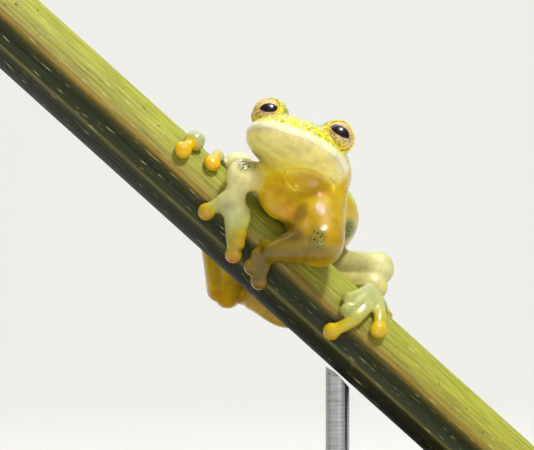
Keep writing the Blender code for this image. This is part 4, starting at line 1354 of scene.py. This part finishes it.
# The rods are drawn steel, brushed round and round: fine rings that spread the light
def brushedSteel():
    material, tree, shader = newMaterial("ring-brushed steel", Metallic=1.0, Roughness=0.32)
    place = addNode(tree, "TexCoord").outputs["Object"]
    spot = addNode(tree, "VectorMath", {0: place, 3: 1000.0}, operation="SCALE").outputs[0]
    drawn = addNode(tree, "Mapping", {0: spot, 3: stand["rings"]}).outputs[0]
    brushed = addNode(tree, "TexNoise", {"Vector": drawn, "Scale": 1.0, "Detail": 4.0}).outputs["Fac"]
    steel = addNode(tree, "ValToRGB", {0: brushed}, stops=stand["steelTones"]).outputs["Color"]
    tree.links.new(steel, shader.inputs["Base Color"])
    polish = addNode(tree, "MapRange", {"Value": brushed, 1: 0.3, 2: 0.7, 3: 0.26, 4: 0.42}).outputs[0]
    tree.links.new(polish, shader.inputs["Roughness"])
    bump = addNode(tree, "Bump", {"Height": brushed, "Strength": 0.3, "Distance": 0.00002})
    tree.links.new(bump.outputs[0], shader.inputs["Normal"])
    return material


def finishStand():
    steel = brushedSteel()
    finishes = {"stand_base": waxedWood(), "stand_rod_tall": steel, "stand_rod_short": steel}
    for name, material in finishes.items():
        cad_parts[name].data.materials.clear()
        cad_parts[name].data.materials.append(material)
    print("stand")


buildSkin()
buildEyes()
buildStem()
finishStand()


studio = {
    "photoWidth": 534,
    "pixel": 0.08,
    "distance": 250.0,
    "aim": (1.36, 0.0, 1.36),
    "sensor": 36.0,
    "floorHalf": 900.0,
    "bendStart": 250.0,
    "bendRadius": 200.0,
    "wallTop": 1200.0,
    "skyTone": (0.95, 0.97, 1.0, 1.0),
    "skyStrength": 0.24,
}


# The floor is a wide roll of matt paper, which takes only soft shadows. It bends up into a backdrop
# along a quarter circle.
def buildStage():
    reach, start, radius = studio["floorHalf"], studio["bendStart"], studio["bendRadius"]
    across = np.linspace(-reach, reach, 3)
    bend = np.linspace(0.0, math.pi / 2, 24)[1:]
    curve = [(start + radius * math.sin(a), radius - radius * math.cos(a)) for a in bend]
    line = np.array([(-reach, 0.0), (start, 0.0)] + curve + [(start + radius, studio["wallTop"])])
    grid = np.array([[(x, y, z) for x in across] for y, z in line]) * millimetre
    rows, columns = grid.shape[:2]
    first = np.arange(rows - 1)[:, None] * columns + np.arange(columns - 1)
    corners = [first, first + 1, first + columns + 1, first + columns]
    faces = np.stack(corners, axis=-1).reshape(-1, 4)
    backdrop = newPiece("backdrop", grid.reshape(-1, 3), faces.tolist())
    paper = newMaterial("matt studio paper", Base_Color="e4e3de", Roughness=0.9)[0]
    backdrop.data.materials.append(paper)


def buildCamera():
    data = bpy.data.cameras.new("camera")
    data.sensor_width = studio["sensor"]
    data.lens = studio["sensor"] / (studio["photoWidth"] * studio["pixel"] / studio["distance"])
    data.clip_start = 0.001
    data.clip_end = 10.0
    camera = bpy.data.objects.new("camera", data)
    bpy.context.scene.collection.objects.link(camera)
    camera.location = placed(np.array(studio["aim"]) + forward * studio["distance"])
    camera.rotation_euler = (math.pi / 2, 0.0, 0.0)
    bpy.context.scene.camera = camera


# Each lamp's place, aim, width in millimetres and power. The small strong one makes the glints.
stemPoint = (0.0, 0.0, 0.0)
lamps = {
    "key": ((76.0, -120.0, 245.0), stemPoint, 110.0, 0.12),
    "spark": ((100.0, -110.0, 225.0), stemPoint, 36.0, 0.55),
    "front": ((30.0, -290.0, 20.0), stemPoint, 60.0, 0.1),
    "fill": ((-260.0, -220.0, 40.0), stemPoint, 260.0, 0.12),
    "backdropLamp": ((0.0, 160.0, 420.0), (0.0, 450.0, 60.0), 500.0, 1.7),
}


def buildLamps():
    for name, (place, aim, size, power) in lamps.items():
        data = bpy.data.lights.new(name, "AREA")
        data.size = size * millimetre
        data.energy = power
        lamp = bpy.data.objects.new(name, data)
        bpy.context.scene.collection.objects.link(lamp)
        lamp.location = placed(place)
        towards = Vector(placed(aim) - placed(place))
        lamp.rotation_euler = towards.to_track_quat("-Z", "Y").to_euler()
    world = bpy.data.worlds.new("studio")
    world.use_nodes = True
    world.node_tree.nodes["Background"].inputs["Color"].default_value = studio["skyTone"]
    world.node_tree.nodes["Background"].inputs["Strength"].default_value = studio["skyStrength"]
    bpy.context.scene.world = world


buildStage()
buildCamera()
buildLamps()
bpy.context.scene.view_settings.view_transform = "Standard"
print("stage, camera and lamps")
